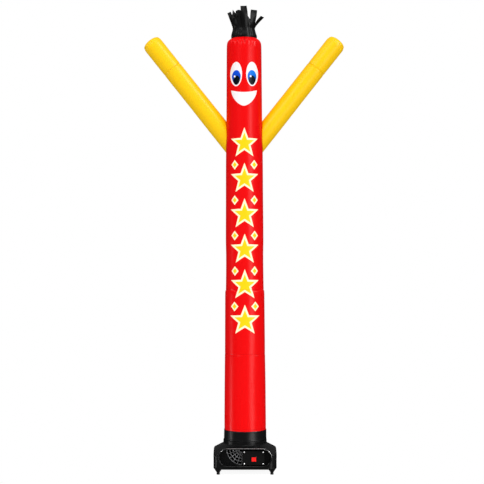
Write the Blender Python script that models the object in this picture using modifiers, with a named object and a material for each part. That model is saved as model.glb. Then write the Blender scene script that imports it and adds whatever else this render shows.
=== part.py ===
"""Inflatable air dancer standing on its blower.

Metres, +Z up. The front, with the switch, faces -Y. The origin lies on the ground under the
middle of the object's box. The cloth is blown up tight and stands on the blower's outlet.
"""
import bpy
import bmesh
from math import cos, sin, pi, radians, sqrt
from mathutils import Matrix, Vector

# ---- the cloth ---------------------------------------------------------------------------
CLOTH = 0.002                # thickness of every cloth wall
STRIP = 0.0016               # thickness of a hair strip
AROUND = 36                  # steps round the body tube
AROUND_ARM = 24              # steps round a sleeve
GAP = 0.0003                 # gap between pieces that touch

SEAM_HEIGHT = 1.327          # the seam that joins the two halves of the body tube
CROWN_HEIGHT = 3.184         # rim of the crown, where the hair comes out
LEAN = 0.165                 # degrees by which the blown-up cloth leans to the left

# one row for each section: height, radius, gather (how far its puckers stand out)
LOWER_TUBE = (
    (0.2965, 0.1512, 0.0),
    (0.342, 0.1523, 0.0),
    (0.518, 0.1512, 0.0),
    (0.871, 0.1470, 0.0),
    (1.224, 0.1448, 0.0),
    (1.296, 0.1443, 0.0008),
    (1.316, 0.1436, 0.0014),
    (SEAM_HEIGHT, 0.1414, 0.0),
)
UPPER_TUBE = (
    (1.315, 0.1384, 0.0),
    (1.335, 0.1388, 0.0),
    (1.577, 0.1366, 0.0),
    (1.695, 0.1384, 0.0),
    (2.020, 0.1366, 0.0),
    (2.283, 0.1354, 0.0),
    (2.518, 0.1320, 0.0),
    (2.988, 0.1286, 0.0),
    (3.110, 0.1272, 0.0004),
    (3.141, 0.1252, 0.0014),
    (3.158, 0.1150, 0.0030),
    (3.174, 0.1000, 0.0026),
    (3.180, 0.0962, 0.0010),
    (CROWN_HEIGHT, 0.0955, 0.0),
)
ARMS_FROM, ARMS_TO = 3, 8    # the rows of the upper tube that the arms are sewn to
CROWN_LOBES = 9              # puckers round the crown and the seam

# the arms: heights are measured along each arm from where its line meets the tube's line
ARM_ANGLE = 38.4             # degrees from upright
ARM_ROOT_HEIGHT = 2.287
ARM_BACK = 0.040             # the arms are sewn on behind the tube's middle
ARM_SEAM = 0.850
ARM_END = 1.095              # seam of the round end cap
INNER_SLEEVE = (
    (0.060, 0.0734, 0.0),
    (0.300, 0.0732, 0.0),
    (0.560, 0.0722, 0.0),
    (0.830, 0.0722, 0.0005),
    (0.843, 0.0718, 0.0010),
    (ARM_SEAM, 0.0704, 0.0),
)
OUTER_SLEEVE = (
    (0.8400, 0.0674, 0.0),
    (0.8508, 0.0677, 0.0),
    (0.8532, 0.0702, 0.0),
    (0.862, 0.0716, 0.0008),
    (0.960, 0.0720, 0.0),
    (1.066, 0.0722, 0.0006),
    (1.083, 0.0714, 0.0020),
    (ARM_END, 0.0672, 0.0014),
)
END_CAP = (
    (1.0958, 0.0666, 0.0014),
    (1.1075, 0.0598, 0.0020),
    (1.1168, 0.0455, 0.0012),
    (1.1218, 0.0250, 0.0004),
)
END_CAP_TOP = 1.1234
ARM_LOBES = 8
# the hole in the tube's wall that fills an arm, from inside the tube to just past its wall
ARM_HOLE = (
    (0.100, 0.064, 0.0),
    (0.380, 0.064, 0.0),
)

# the black cuff that straps the cloth to the outlet
CUFF = (
    (0.2368, 0.1560, 0.0),
    (0.250, 0.1556, 0.0003),
    (0.285, 0.1552, 0.0),
    (0.306, 0.1550, 0.0),
    (0.3135, 0.1540, 0.0),
)
CUFF_LOBES = 9

# ---- the hair ----------------------------------------------------------------------------
HAIR_BAND = (
    (3.172, 0.0920, 0.0),
    (3.1855, 0.0924, 0.0),
    (3.194, 0.0922, 0.0012),
    (3.218, 0.0862, 0.0022),
    (3.244, 0.0812, 0.0016),
)
HAIR_FOLDS = 7               # soft folds round the band
HAIR_ROOT = 0.034            # width of a strip at its root
HAIR_ROWS = 5
HAIR_FLARE = 1.6             # how late a strip bends outwards: 1 is a straight slant
# one row for each strip: turn (degrees from the front, to the right), top height, out and side
# (how far its tip stands outwards and to the right of its root), tip width, twist, curl
HAIR_STRIPS = (
    (-169, 3.345, 0.010, 0.006, 0.040, -16, 0.0),
    (-141, 3.352, 0.022, 0.000, 0.040, 24, 1.2),
    (-114, 3.383, 0.000, -0.012, 0.020, -30, 0.0),
    (-86, 3.366, 0.030, 0.000, 0.032, 50, 0.0),
    (-58, 3.340, 0.008, 0.000, 0.034, 22, 0.0),
    (-29, 3.372, 0.010, 0.000, 0.038, 10, 2.0),
    (4, 3.399, 0.012, -0.009, 0.046, 4, 0.0),
    (30, 3.311, -0.006, 0.004, 0.034, -12, 0.0),
    (55, 3.377, 0.012, 0.004, 0.045, -50, 0.0),
    (82, 3.335, 0.057, 0.000, 0.038, -28, 0.0),
    (108, 3.300, 0.000, 0.006, 0.032, 18, 0.0),
    (135, 3.326, -0.004, 0.004, 0.038, -20, 0.0),
    (163, 3.337, 0.016, -0.006, 0.042, 12, 0.0),
)

# ---- the blower --------------------------------------------------------------------------
BASE_X = 0.0075              # the blower stands this far right of the middle of the box
CLOTH_X = 0.0087             # the cloth sits a little to the right on the outlet
HALF_WIDTH = 0.229
HALF_DEPTH = 0.195
CORNER = 0.060               # corner radius of the housing, seen from above
BASE_STEPS = 64
ROOF_SLOPE = 0.53            # fall of the roof for each metre away from the outlet
ROOF_TOP = 0.2088
ROOF_EDGE_DROP = 0.010       # height of the rounded edge round the roof
ROOF_EDGE_INSET = 0.007
FLANGE_RADIUS = 0.1590
FLANGE_TOP = 0.2345
FLANGE_EDGE = 0.002
COLLAR_RADIUS = 0.1508       # the outlet collar, inside the cuff
COLLAR_TOP = 0.2935
DUCT_RADIUS = 0.1440
DUCT_FLOOR = 0.075
BODY_BOTTOM = 0.040
BOTTOM_ROUND = 0.006

CUT = 0.010                  # how far a cutter runs past what it cuts
SINK = 0.005                 # how far two solids that become one run into each other

RECESS_MIDDLE = 0.1273       # height of the middle of the stadium-shaped recess
RECESS_WIDTH = 0.389
RECESS_HEIGHT = 0.137
RECESS_LIP = 0.009           # width of the raised lip round the recess
RECESS_FRONT = -0.205
RECESS_BACK = -0.155

SWITCH_BOX_LEFT = -0.0165    # from the blower's middle
SWITCH_BOX_RIGHT = 0.1405
SWITCH_BOX_BOTTOM = 0.0705
SWITCH_BOX_TOP = 0.1755
SWITCH_BOX_FRONT = -0.178

INTAKE_X = -0.0205           # middle of the round intake, from the blower's middle
INTAKE_TOP = 0.1845
INTAKE_RADIUS = 0.108
INTAKE_DEPTH = 0.095         # from the back of the recess into the duct
GUARD_BARS = (0.022, 0.044, 0.066, 0.088, 0.1105)   # inner radius of each round bar
GUARD_BAR = 0.0034           # width and thickness of the guard's bars
GUARD_SPOKES = 6
GUARD_SPOKE_HALF = 0.020     # half of a spoke's width, in radians
GUARD_ARC_STEPS = 2          # steps from one spoke to the next

PLATE = 0.003
PLATE_MARGIN = 0.0015        # the plate stops this far inside the switch box's edge
SCREW_INSET = 0.0090
SCREW_HEAD = ((0, 0), (0.0052, 0), (0.0052, 0.0012), (0.0037, 0.0023), (0.0018, 0.0026), (0, 0.0026))

SWITCH_X = 0.0637            # middle of the switch, from the blower's middle
SWITCH_HEIGHT = 0.1126
SWITCH_HOLE = 0.0370         # square hole in the plate and the box
SWITCH_DEPTH = 0.0160
BEZEL_OUTER = 0.0430
BEZEL_SLEEVE = 0.0364
BEZEL_SLEEVE_DEPTH = 0.010   # how far the bezel's sleeve goes into the box
BEZEL_INNER = 0.0334
BEZEL_LIP = 0.0030
ROCKER_WIDTH = 0.0326
ROCKER_AXIS_DEPTH = 0.002    # the rocker's axis lies this far behind the box's front
ROCKER_TILT = 8.0            # at rest the rocker's top is pressed in by this many degrees
# half of the rocker's side view: out (from its axis), up
ROCKER_SIDE = ((-0.0060, 0.0040), (-0.0030, 0.0105), (0.0030, 0.0152), (0.0095, 0.0150))
ROCKER_DIP = 0.0078          # how far out the rocker's face is at its middle

FOOT_X = 0.1942
FOOT_Y = 0.155
FOOT_TOP = 0.0180
FOOT = ((0, 0), (0.0096, 0), (0.0108, 0.0015), (0.0108, FOOT_TOP - GAP), (0, FOOT_TOP - GAP))
LUG = ((0, FOOT_TOP), (0.0125, FOOT_TOP), (0.0315, 0.046), (0, 0.046))
ROUND_STEPS = 16             # steps round a foot, a screw or the gland

GLAND_X = 0.120
GLAND_HEIGHT = 0.090
GLAND = ((0, 0), (0.0125, 0), (0.0125, 0.0048), (0.0095, 0.0052), (0.0088, 0.0095), (0, 0.0095))
GLAND_BORE = ((0, 0.003), (0.0045, 0.003), (0.0045, 0.0135), (0, 0.0135))

# name: colour, roughness, metallic
MATERIALS = {
    "red_nylon": ((0.86, 0.01, 0.02), 0.45, 0.0),
    "yellow_nylon": ((0.95, 0.58, 0.01), 0.45, 0.0),
    "black_cuff": ((0.012, 0.012, 0.013), 0.40, 0.0),
    "black_hair": ((0.012, 0.012, 0.013), 0.50, 0.0),
    "black_plastic": ((0.020, 0.020, 0.021), 0.42, 0.0),
    "guard_wire": ((0.050, 0.050, 0.050), 0.35, 0.6),
    "plate_plastic": ((0.024, 0.024, 0.025), 0.50, 0.0),
    "bezel_plastic": ((0.015, 0.015, 0.015), 0.35, 0.0),
    "rocker_plastic": ((0.800, 0.020, 0.020), 0.25, 0.0),
    "screw_steel": ((0.700, 0.700, 0.700), 0.25, 1.0),
    "foot_rubber": ((0.015, 0.015, 0.015), 0.80, 0.0),
    "gland_plastic": ((0.018, 0.018, 0.018), 0.45, 0.0),
}

for old in list(bpy.data.objects):
    bpy.data.objects.remove(old, do_unlink=True)


# ---- helpers -----------------------------------------------------------------------------
def new_collection(name):
    group = bpy.data.collections.new(name)
    bpy.context.scene.collection.children.link(group)
    return group


parts = new_collection("air_dancer")
cutters = new_collection("cutters")


def new_material(name):
    colour, roughness, metallic = MATERIALS[name]
    made = bpy.data.materials.new(name)
    made.use_nodes = True
    shader = made.node_tree.nodes["Principled BSDF"]
    shader.inputs["Base Color"].default_value = (*colour, 1.0)
    shader.inputs["Roughness"].default_value = roughness
    shader.inputs["Metallic"].default_value = metallic
    made.diffuse_color = (*colour, 1.0)
    return made


materials = {name: new_material(name) for name in MATERIALS}


def new_object(name, shape, material=None, parent=None):
    """An object from a bmesh; material is a name from the table, and a cutter has none."""
    mesh = bpy.data.meshes.new(name)
    shape.to_mesh(mesh)
    shape.free()
    made = bpy.data.objects.new(name, mesh)
    parts.objects.link(made)
    if material:
        mesh.materials.append(materials[material])
    made.parent = parent
    return made


def shade(item, degrees=40):
    item.data.shade_smooth()
    item.data.set_sharp_from_angle(angle=radians(degrees))
    return item


def as_cutter(item):
    parts.objects.unlink(item)
    cutters.objects.link(item)
    item.hide_render = True
    item.display_type = "WIRE"
    return item


def add_boolean(item, other, operation):
    change = item.modifiers.new(operation.lower() + "_" + other.name, "BOOLEAN")
    change.object = other
    change.operation = operation
    change.solver = "EXACT"


def add_wall(item, thickness):
    """Give an open sheet its thickness, inwards from the shape it was drawn with."""
    wall = item.modifiers.new("wall", "SOLIDIFY")
    wall.thickness = thickness
    wall.offset = -1.0
    wall.use_even_offset = True


def loft(rings, cap_start=False, cap_end=False, apex=None):
    """A skin through rings of points; an apex closes its far end to one point."""
    skin = bmesh.new()
    rows = [[skin.verts.new(point) for point in ring] for ring in rings]
    count = len(rows[0])
    for low, high in zip(rows, rows[1:]):
        for i in range(count):
            j = (i + 1) % count
            skin.faces.new((low[i], low[j], high[j], high[i]))
    if cap_start:
        skin.faces.new(rows[0][::-1])
    if cap_end:
        skin.faces.new(rows[-1])
    if apex is not None:
        tip = skin.verts.new(apex)
        for i in range(count):
            skin.faces.new((rows[-1][i], rows[-1][(i + 1) % count], tip))
    return skin


def pucker(angle, lobes):
    """An uneven wave round a section, between about -1 and 1."""
    return 0.62 * cos(lobes * angle + 0.8) + 0.38 * cos((lobes + 3) * angle + 2.1)


def section(frame, height, radius, gather, lobes, steps):
    """One ring of a cloth tube, square to its line."""
    ring = []
    for i in range(steps):
        angle = 2 * pi * i / steps
        reach = radius + gather * pucker(angle, lobes)
        ring.append(frame @ Vector((reach * cos(angle), reach * sin(angle), height)))
    return ring


def tube_rings(rows, frame=Matrix(), lobes=CROWN_LOBES, steps=AROUND, extra=0.0):
    return [section(frame, height, radius + extra, gather, lobes, steps)
            for height, radius, gather in rows]


def facing_y(a, b, depth):
    return (a, depth, b)


def facing_x(a, b, depth):
    return (depth, a, b)


def prism(name, outline, low, high, place=facing_y):
    """A solid from a flat outline: x and z drawn out along Y, or y and z drawn out along X."""
    solid = bmesh.new()
    near = [solid.verts.new(place(a, b, low)) for a, b in outline]
    far = [solid.verts.new(place(a, b, high)) for a, b in outline]
    solid.faces.new(near)
    solid.faces.new(far[::-1])
    for i in range(len(outline)):
        j = (i + 1) % len(outline)
        solid.faces.new((near[j], near[i], far[i], far[j]))
    bmesh.ops.recalc_face_normals(solid, faces=solid.faces)
    return new_object(name, solid)


def box(name, low, high, material=None):
    solid = bmesh.new()
    size = Vector(high) - Vector(low)
    middle = (Vector(high) + Vector(low)) / 2
    stretch = Matrix.Diagonal((size.x, size.y, size.z, 1.0))
    bmesh.ops.create_cube(solid, size=1.0, matrix=Matrix.Translation(middle) @ stretch)
    return new_object(name, solid, material)


def turned(name, profile, place, material=None):
    """A turned solid about Z, from a profile of (radius, height) that starts and ends on Z."""
    rows = [(height, radius, 0.0) for radius, height in profile[1:-1]]
    rings = tube_rings(rows, place, steps=ROUND_STEPS)
    return new_object(name, loft(rings, cap_start=True, cap_end=True), material)


# ---- the body tube -----------------------------------------------------------------------
# the cloth leans as one: its objects hang on this empty, and are drawn from the ground up
lean = bpy.data.objects.new("lean", None)
lean.location = (CLOTH_X, 0.0, COLLAR_TOP)
lean.rotation_euler = (0.0, radians(-LEAN), 0.0)
parts.objects.link(lean)
upright = Matrix.Translation((0.0, 0.0, -COLLAR_TOP))


def body_tube(name, rows):
    tube = new_object(name, loft(tube_rings(rows, upright)), "red_nylon", lean)
    add_wall(tube, CLOTH)
    return shade(tube)


lower_tube = body_tube("lower_tube", LOWER_TUBE)
upper_tube = body_tube("upper_tube", UPPER_TUBE)


# ---- the arms ----------------------------------------------------------------------------
SIDES = {"left": -1, "right": 1}


def arm_frame(side):
    """Drawing frame of an arm: its Z runs out along the arm."""
    tilt = Matrix.Rotation(SIDES[side] * radians(ARM_ANGLE), 4, "Y")
    return upright @ Matrix.Translation((0.0, ARM_BACK, ARM_ROOT_HEIGHT)) @ tilt


def arm_rings(rows, side):
    return tube_rings(rows, arm_frame(side), ARM_LOBES, AROUND_ARM)


def arm_piece(name, skin):
    piece = new_object(name, skin, "yellow_nylon", lean)
    add_wall(piece, CLOTH)
    return shade(piece)


filled_tube = loft(tube_rings(UPPER_TUBE[ARMS_FROM:ARMS_TO], upright, extra=GAP),
                   cap_start=True, cap_end=True)
tube_cutter = as_cutter(new_object("tube_cutter", filled_tube, parent=lean))
for side in SIDES:
    inner = arm_piece(side + "_inner_sleeve", loft(arm_rings(INNER_SLEEVE, side)))
    add_boolean(inner, tube_cutter, "DIFFERENCE")
    arm_piece(side + "_outer_sleeve", loft(arm_rings(OUTER_SLEEVE, side)))
    tip = arm_frame(side) @ Vector((0.0, 0.0, END_CAP_TOP))
    arm_piece(side + "_end_cap", loft(arm_rings(END_CAP, side), apex=tip))
    bar = loft(arm_rings(ARM_HOLE, side), cap_start=True, cap_end=True)
    arm_hole = as_cutter(new_object(side + "_arm_hole", bar, parent=lean))
    add_boolean(upper_tube, arm_hole, "DIFFERENCE")


# ---- the cuff ----------------------------------------------------------------------------
cuff = new_object("cuff", loft(tube_rings(CUFF, lobes=CUFF_LOBES)), "black_cuff")
cuff.location = (CLOTH_X, 0.0, 0.0)
add_wall(cuff, CLOTH)
shade(cuff)


# ---- the hair: strips whose roots are one band -----------------------------------------------
def hair_angles():
    """The band's corners: left and right of each strip's root, in order round the band."""
    top_radius = HAIR_BAND[-1][1]
    half = HAIR_ROOT / 2 / top_radius
    for turn, *_ in HAIR_STRIPS:
        middle = radians(turn - 90)
        yield middle - half
        yield middle + half


def strip_rows(left, right, strip):
    """Corner pairs up a strip, from its root to its tip."""
    _, top, out, sideways, tip_width, twist, curl = strip
    root = (left + right) / 2
    across = (right - left).normalized()
    outwards = Vector((across.y, -across.x, 0.0)).normalized()
    # a curled strip climbs to its peak and comes down again before its tip
    peak = 1.0
    if curl > 0.5:
        peak = (2 / 3) * (1 + curl) * sqrt((1 + curl) / (3 * curl))
    for row in range(1, HAIR_ROWS + 1):
        t = row / HAIR_ROWS
        middle = root + outwards * out * t ** HAIR_FLARE + across * sideways * t * t
        middle.z += (top - COLLAR_TOP - root.z) * ((1 + curl) * t - curl * t ** 3) / peak
        half = (HAIR_ROOT + (tip_width - HAIR_ROOT) * sqrt(t)) / 2
        wide = Matrix.Rotation(radians(twist) * t, 3, "Z") @ across
        yield middle - wide * half, middle + wide * half


def hair_skin():
    angles = list(hair_angles())
    skin = bmesh.new()
    band = []
    for height, radius, fold in HAIR_BAND:
        reaches = [radius + fold * pucker(angle, HAIR_FOLDS) for angle in angles]
        band.append([skin.verts.new(upright @ Vector((reach * cos(angle), reach * sin(angle), height)))
                     for reach, angle in zip(reaches, angles)])
    for low, high in zip(band, band[1:]):
        for i in range(len(angles)):
            j = (i + 1) % len(angles)
            skin.faces.new((low[i], low[j], high[j], high[i]))
    for number, strip in enumerate(HAIR_STRIPS):
        below = (band[-1][2 * number], band[-1][2 * number + 1])
        for left, right in strip_rows(below[0].co.copy(), below[1].co.copy(), strip):
            above = (skin.verts.new(left), skin.verts.new(right))
            skin.faces.new((below[0], below[1], above[1], above[0]))
            below = above
    return skin


hair = new_object("hair", hair_skin(), "black_hair", lean)
add_wall(hair, STRIP)
shade(hair)


# ---- the blower's housing --------------------------------------------------------------------
def outline_reach(angle):
    """Distance from the blower's middle to its rounded-rectangle outline, at an angle."""
    along, up = abs(cos(angle)), abs(sin(angle))
    side_x, side_y = HALF_WIDTH - CORNER, HALF_DEPTH - CORNER
    if HALF_WIDTH * up <= side_y * along:
        return HALF_WIDTH / along
    if HALF_DEPTH * along <= side_x * up:
        return HALF_DEPTH / up
    middle = side_x * along + side_y * up
    return middle + sqrt(middle ** 2 - side_x ** 2 - side_y ** 2 + CORNER ** 2)


def roof(reach):
    return ROOF_TOP - ROOF_SLOPE * (reach - FLANGE_RADIUS)


def outline_ring(inset, height=None, below_roof=0.0):
    """A ring of the outline, level at a height or lying a little below the roof."""
    ring = []
    for i in range(BASE_STEPS):
        angle = 2 * pi * i / BASE_STEPS
        reach = outline_reach(angle)
        level = roof(reach) - below_roof if height is None else height
        ring.append((BASE_X + (reach - inset) * cos(angle), (reach - inset) * sin(angle), level))
    return ring


def round_ring(radius, height):
    return [(BASE_X + radius * cos(2 * pi * i / BASE_STEPS),
             radius * sin(2 * pi * i / BASE_STEPS), height) for i in range(BASE_STEPS)]


def stadium(width, height, steps=12):
    """Outline of a recess with half-round ends, as x and z."""
    radius = height / 2
    straight = width / 2 - radius
    outline = []
    for middle, start in ((straight, -pi / 2), (-straight, pi / 2)):
        for i in range(steps + 1):
            angle = start + pi * i / steps
            outline.append((BASE_X + middle + radius * cos(angle),
                            RECESS_MIDDLE + radius * sin(angle)))
    return outline


def quarter_disc(radius, steps=10):
    """The lower left quarter of the round intake, which is what the switch box leaves open."""
    middle = BASE_X + INTAKE_X
    outline = [(middle, INTAKE_TOP)]
    for i in range(steps + 1):
        angle = pi + (pi / 2) * i / steps
        outline.append((middle + radius * cos(angle), INTAKE_TOP + radius * sin(angle)))
    return outline


housing = new_object("blower_housing", loft([
    outline_ring(BOTTOM_ROUND, BODY_BOTTOM),
    outline_ring(0.0, BODY_BOTTOM + BOTTOM_ROUND),
    outline_ring(0.0, below_roof=ROOF_EDGE_DROP),
    outline_ring(ROOF_EDGE_INSET, below_roof=ROOF_EDGE_DROP / 10),
    round_ring(FLANGE_RADIUS + FLANGE_EDGE, ROOF_TOP - FLANGE_EDGE / 2),
    round_ring(FLANGE_RADIUS, ROOF_TOP + FLANGE_EDGE),
    round_ring(FLANGE_RADIUS, FLANGE_TOP - FLANGE_EDGE),
    round_ring(FLANGE_RADIUS - FLANGE_EDGE, FLANGE_TOP),
    round_ring(COLLAR_RADIUS, FLANGE_TOP),
    round_ring(COLLAR_RADIUS, COLLAR_TOP),
    round_ring(DUCT_RADIUS, COLLAR_TOP),
    round_ring(DUCT_RADIUS, DUCT_FLOOR),
], cap_start=True, cap_end=True), "black_plastic")

lip = as_cutter(prism(
    "lip_boss", stadium(RECESS_WIDTH, RECESS_HEIGHT), RECESS_FRONT, RECESS_BACK + SINK))
recess = as_cutter(prism(
    "recess_cutter", stadium(RECESS_WIDTH - 2 * RECESS_LIP, RECESS_HEIGHT - 2 * RECESS_LIP),
    RECESS_FRONT - CUT, RECESS_BACK))
switch_box = as_cutter(box(
    "switch_box", (BASE_X + SWITCH_BOX_LEFT, SWITCH_BOX_FRONT, SWITCH_BOX_BOTTOM),
    (BASE_X + SWITCH_BOX_RIGHT, RECESS_BACK + SINK, SWITCH_BOX_TOP)))
intake = as_cutter(prism(
    "intake_cutter", quarter_disc(INTAKE_RADIUS), RECESS_BACK - CUT, RECESS_BACK + INTAKE_DEPTH))
half_hole = SWITCH_HOLE / 2
switch_hole = as_cutter(box(
    "switch_hole",
    (BASE_X + SWITCH_X - half_hole, SWITCH_BOX_FRONT - CUT, SWITCH_HEIGHT - half_hole),
    (BASE_X + SWITCH_X + half_hole, SWITCH_BOX_FRONT + SWITCH_DEPTH, SWITCH_HEIGHT + half_hole)))

add_boolean(housing, lip, "UNION")
add_boolean(housing, recess, "DIFFERENCE")
add_boolean(housing, switch_box, "UNION")
add_boolean(housing, intake, "DIFFERENCE")
add_boolean(housing, switch_hole, "DIFFERENCE")

# ---- the feet, each under its own lug ----------------------------------------------------------
foot_places = [(x, y) for x in (-FOOT_X, FOOT_X) for y in (-FOOT_Y, FOOT_Y)]
for number, (x, y) in enumerate(foot_places, 1):
    place = Matrix.Translation((BASE_X + x, y, 0.0))
    lug = as_cutter(turned("lug_%d" % number, LUG, place))
    add_boolean(housing, lug, "UNION")
    shade(turned("foot_%d" % number, FOOT, place, "foot_rubber"))
shade(housing, 32)


# ---- the intake guard: a flat grille of round bars and spokes ----------------------------------
def guard_lines():
    """The guard's radii and angles, each with whether a bar or a spoke starts there."""
    radii = []
    for radius in GUARD_BARS:
        radii += [(radius, True), (radius + GUARD_BAR, False)]
    turns = []
    first, last = pi + GUARD_SPOKE_HALF, 3 * pi / 2 - GUARD_SPOKE_HALF
    pitch = (last - first) / (GUARD_SPOKES - 1)
    for spoke in range(GUARD_SPOKES):
        middle = first + pitch * spoke
        turns.append((middle - GUARD_SPOKE_HALF, True))
        steps = GUARD_ARC_STEPS if spoke < GUARD_SPOKES - 1 else 1
        for step in range(steps):
            share = step / GUARD_ARC_STEPS
            turns.append((middle + GUARD_SPOKE_HALF + (pitch - 2 * GUARD_SPOKE_HALF) * share, False))
    return radii, turns


def guard_skin():
    radii, turns = guard_lines()
    skin = bmesh.new()
    corners = [[skin.verts.new((BASE_X + INTAKE_X + radius * cos(turn), RECESS_BACK - GAP,
                                INTAKE_TOP + radius * sin(turn)))
                for turn, _ in turns] for radius, _ in radii]
    for i in range(len(radii) - 1):
        for j in range(len(turns) - 1):
            if radii[i][1] or turns[j][1]:
                near, far = corners[i], corners[i + 1]
                skin.faces.new((near[j], near[j + 1], far[j + 1], far[j]))
    return skin


guard = new_object("intake_guard", guard_skin(), "guard_wire")
add_wall(guard, GUARD_BAR)

# ---- the switch plate and its screws -----------------------------------------------------------
plate_back = SWITCH_BOX_FRONT - GAP
plate_front = plate_back - PLATE
plate_low = Vector((BASE_X + SWITCH_BOX_LEFT + PLATE_MARGIN, plate_front,
                    SWITCH_BOX_BOTTOM + PLATE_MARGIN))
plate_high = Vector((BASE_X + SWITCH_BOX_RIGHT - PLATE_MARGIN, plate_back,
                     SWITCH_BOX_TOP - PLATE_MARGIN))
plate = box("switch_plate", plate_low, plate_high, "plate_plastic")
add_boolean(plate, switch_hole, "DIFFERENCE")

facing_front = Matrix.Rotation(radians(90), 4, "X")
screw_places = [(x, z) for x in (plate_low.x + SCREW_INSET, plate_high.x - SCREW_INSET)
                for z in (plate_low.z + SCREW_INSET, plate_high.z - SCREW_INSET)]
for number, (x, z) in enumerate(screw_places, 1):
    place = Matrix.Translation((x, plate_front - GAP, z)) @ facing_front
    shade(turned("screw_%d" % number, SCREW_HEAD, place, "screw_steel"))

# ---- the switch: its bezel and its rocker ------------------------------------------------------
switch_middle = Vector((BASE_X + SWITCH_X, 0.0, SWITCH_HEIGHT))
bezel_back = plate_front - GAP


def switch_block(name, size, front, back, material=None):
    half = size / 2
    return box(name, (switch_middle.x - half, front, switch_middle.z - half),
               (switch_middle.x + half, back, switch_middle.z + half), material)


bezel = switch_block(
    "switch_bezel", BEZEL_OUTER, bezel_back - BEZEL_LIP, bezel_back, "bezel_plastic")
bezel_sleeve = as_cutter(switch_block(
    "bezel_sleeve", BEZEL_SLEEVE, bezel_back - BEZEL_LIP / 3, SWITCH_BOX_FRONT + BEZEL_SLEEVE_DEPTH))
bezel_hole = as_cutter(switch_block(
    "bezel_hole", BEZEL_INNER, bezel_back - CUT, SWITCH_BOX_FRONT + BEZEL_SLEEVE_DEPTH + CUT))
add_boolean(bezel, bezel_sleeve, "UNION")
add_boolean(bezel, bezel_hole, "DIFFERENCE")

rocker_side = [(-out, up) for out, up in ROCKER_SIDE] + [(-ROCKER_DIP, 0.0)]
rocker_side += [(-out, -up) for out, up in reversed(ROCKER_SIDE)]
rocker = prism("switch_rocker", rocker_side, -ROCKER_WIDTH / 2, ROCKER_WIDTH / 2, facing_x)
rocker.data.materials.append(materials["rocker_plastic"])
rocker.location = (switch_middle.x, SWITCH_BOX_FRONT + ROCKER_AXIS_DEPTH, switch_middle.z)
rocker.rotation_euler = (radians(-ROCKER_TILT), 0.0, 0.0)

# ---- the cable gland at the back ---------------------------------------------------------------
facing_back = Matrix.Rotation(radians(-90), 4, "X")
gland_place = Matrix.Translation((BASE_X + GLAND_X, HALF_DEPTH + GAP, GLAND_HEIGHT)) @ facing_back
gland = turned("cable_gland", GLAND, gland_place, "gland_plastic")
gland_bore = as_cutter(turned("gland_bore", GLAND_BORE, gland_place))
add_boolean(gland, gland_bore, "DIFFERENCE")
shade(gland)
print("air dancer built:", len([item for item in parts.objects if item.type == "MESH"]), "pieces")
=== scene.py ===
import bmesh
import bpy
from functools import lru_cache
from math import atan2, cos, exp, hypot, pi, radians, sin, sqrt
from mathutils import Matrix, Vector, noise


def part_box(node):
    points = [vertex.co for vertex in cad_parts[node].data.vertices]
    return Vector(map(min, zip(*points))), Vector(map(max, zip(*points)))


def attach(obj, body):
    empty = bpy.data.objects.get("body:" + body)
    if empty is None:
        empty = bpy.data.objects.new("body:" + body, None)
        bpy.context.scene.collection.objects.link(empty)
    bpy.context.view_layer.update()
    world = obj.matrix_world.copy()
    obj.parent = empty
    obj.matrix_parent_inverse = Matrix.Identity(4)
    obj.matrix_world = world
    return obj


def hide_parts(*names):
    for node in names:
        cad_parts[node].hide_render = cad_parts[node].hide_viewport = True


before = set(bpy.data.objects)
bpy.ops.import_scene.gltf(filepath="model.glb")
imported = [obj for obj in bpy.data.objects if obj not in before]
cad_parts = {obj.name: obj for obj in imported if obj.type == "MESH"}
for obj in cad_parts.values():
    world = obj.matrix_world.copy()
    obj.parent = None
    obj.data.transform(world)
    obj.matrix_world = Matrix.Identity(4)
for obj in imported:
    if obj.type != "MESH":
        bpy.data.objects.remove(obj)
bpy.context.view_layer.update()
print("frame loaded with", len(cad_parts), "solids")

viewpoint = {"place": (-0.0147, -9.2, 1.68), "lens": 93.10, "sensor": 36.0}
cameraData = bpy.data.cameras.new("camera")
cameraData.lens = viewpoint["lens"]
cameraData.sensor_width = viewpoint["sensor"]
camera = bpy.data.objects.new("camera", cameraData)
camera.location = viewpoint["place"]
camera.rotation_euler = (radians(90), 0, 0)
bpy.context.scene.collection.objects.link(camera)
bpy.context.scene.camera = camera
bpy.context.scene.view_settings.view_transform = "Standard"


class Wire:
    # a shader socket that can stand in a sum: 2 * wire + 1 adds its Math nodes, and only a plain
    # number divides it
    def __init__(self, graph, socket):
        self.graph, self.socket = graph, socket

    def __add__(self, other):
        return self.graph.maths("ADD", self, other)

    def __sub__(self, other):
        return self.graph.maths("SUBTRACT", self, other)

    def __rsub__(self, other):
        return self.graph.maths("SUBTRACT", other, self)

    def __mul__(self, other):
        return self.graph.maths("MULTIPLY", self, other)

    def __truediv__(self, number):
        return self * (1 / number)

    def __neg__(self):
        return self * -1

    def __abs__(self):
        return self.graph.maths("ABSOLUTE", self)

    def __pow__(self, other):
        return self.graph.maths("POWER", self, other)

    def __lt__(self, other):
        return self.graph.maths("LESS_THAN", self, other)

    __radd__, __rmul__ = __add__, __mul__


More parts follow.
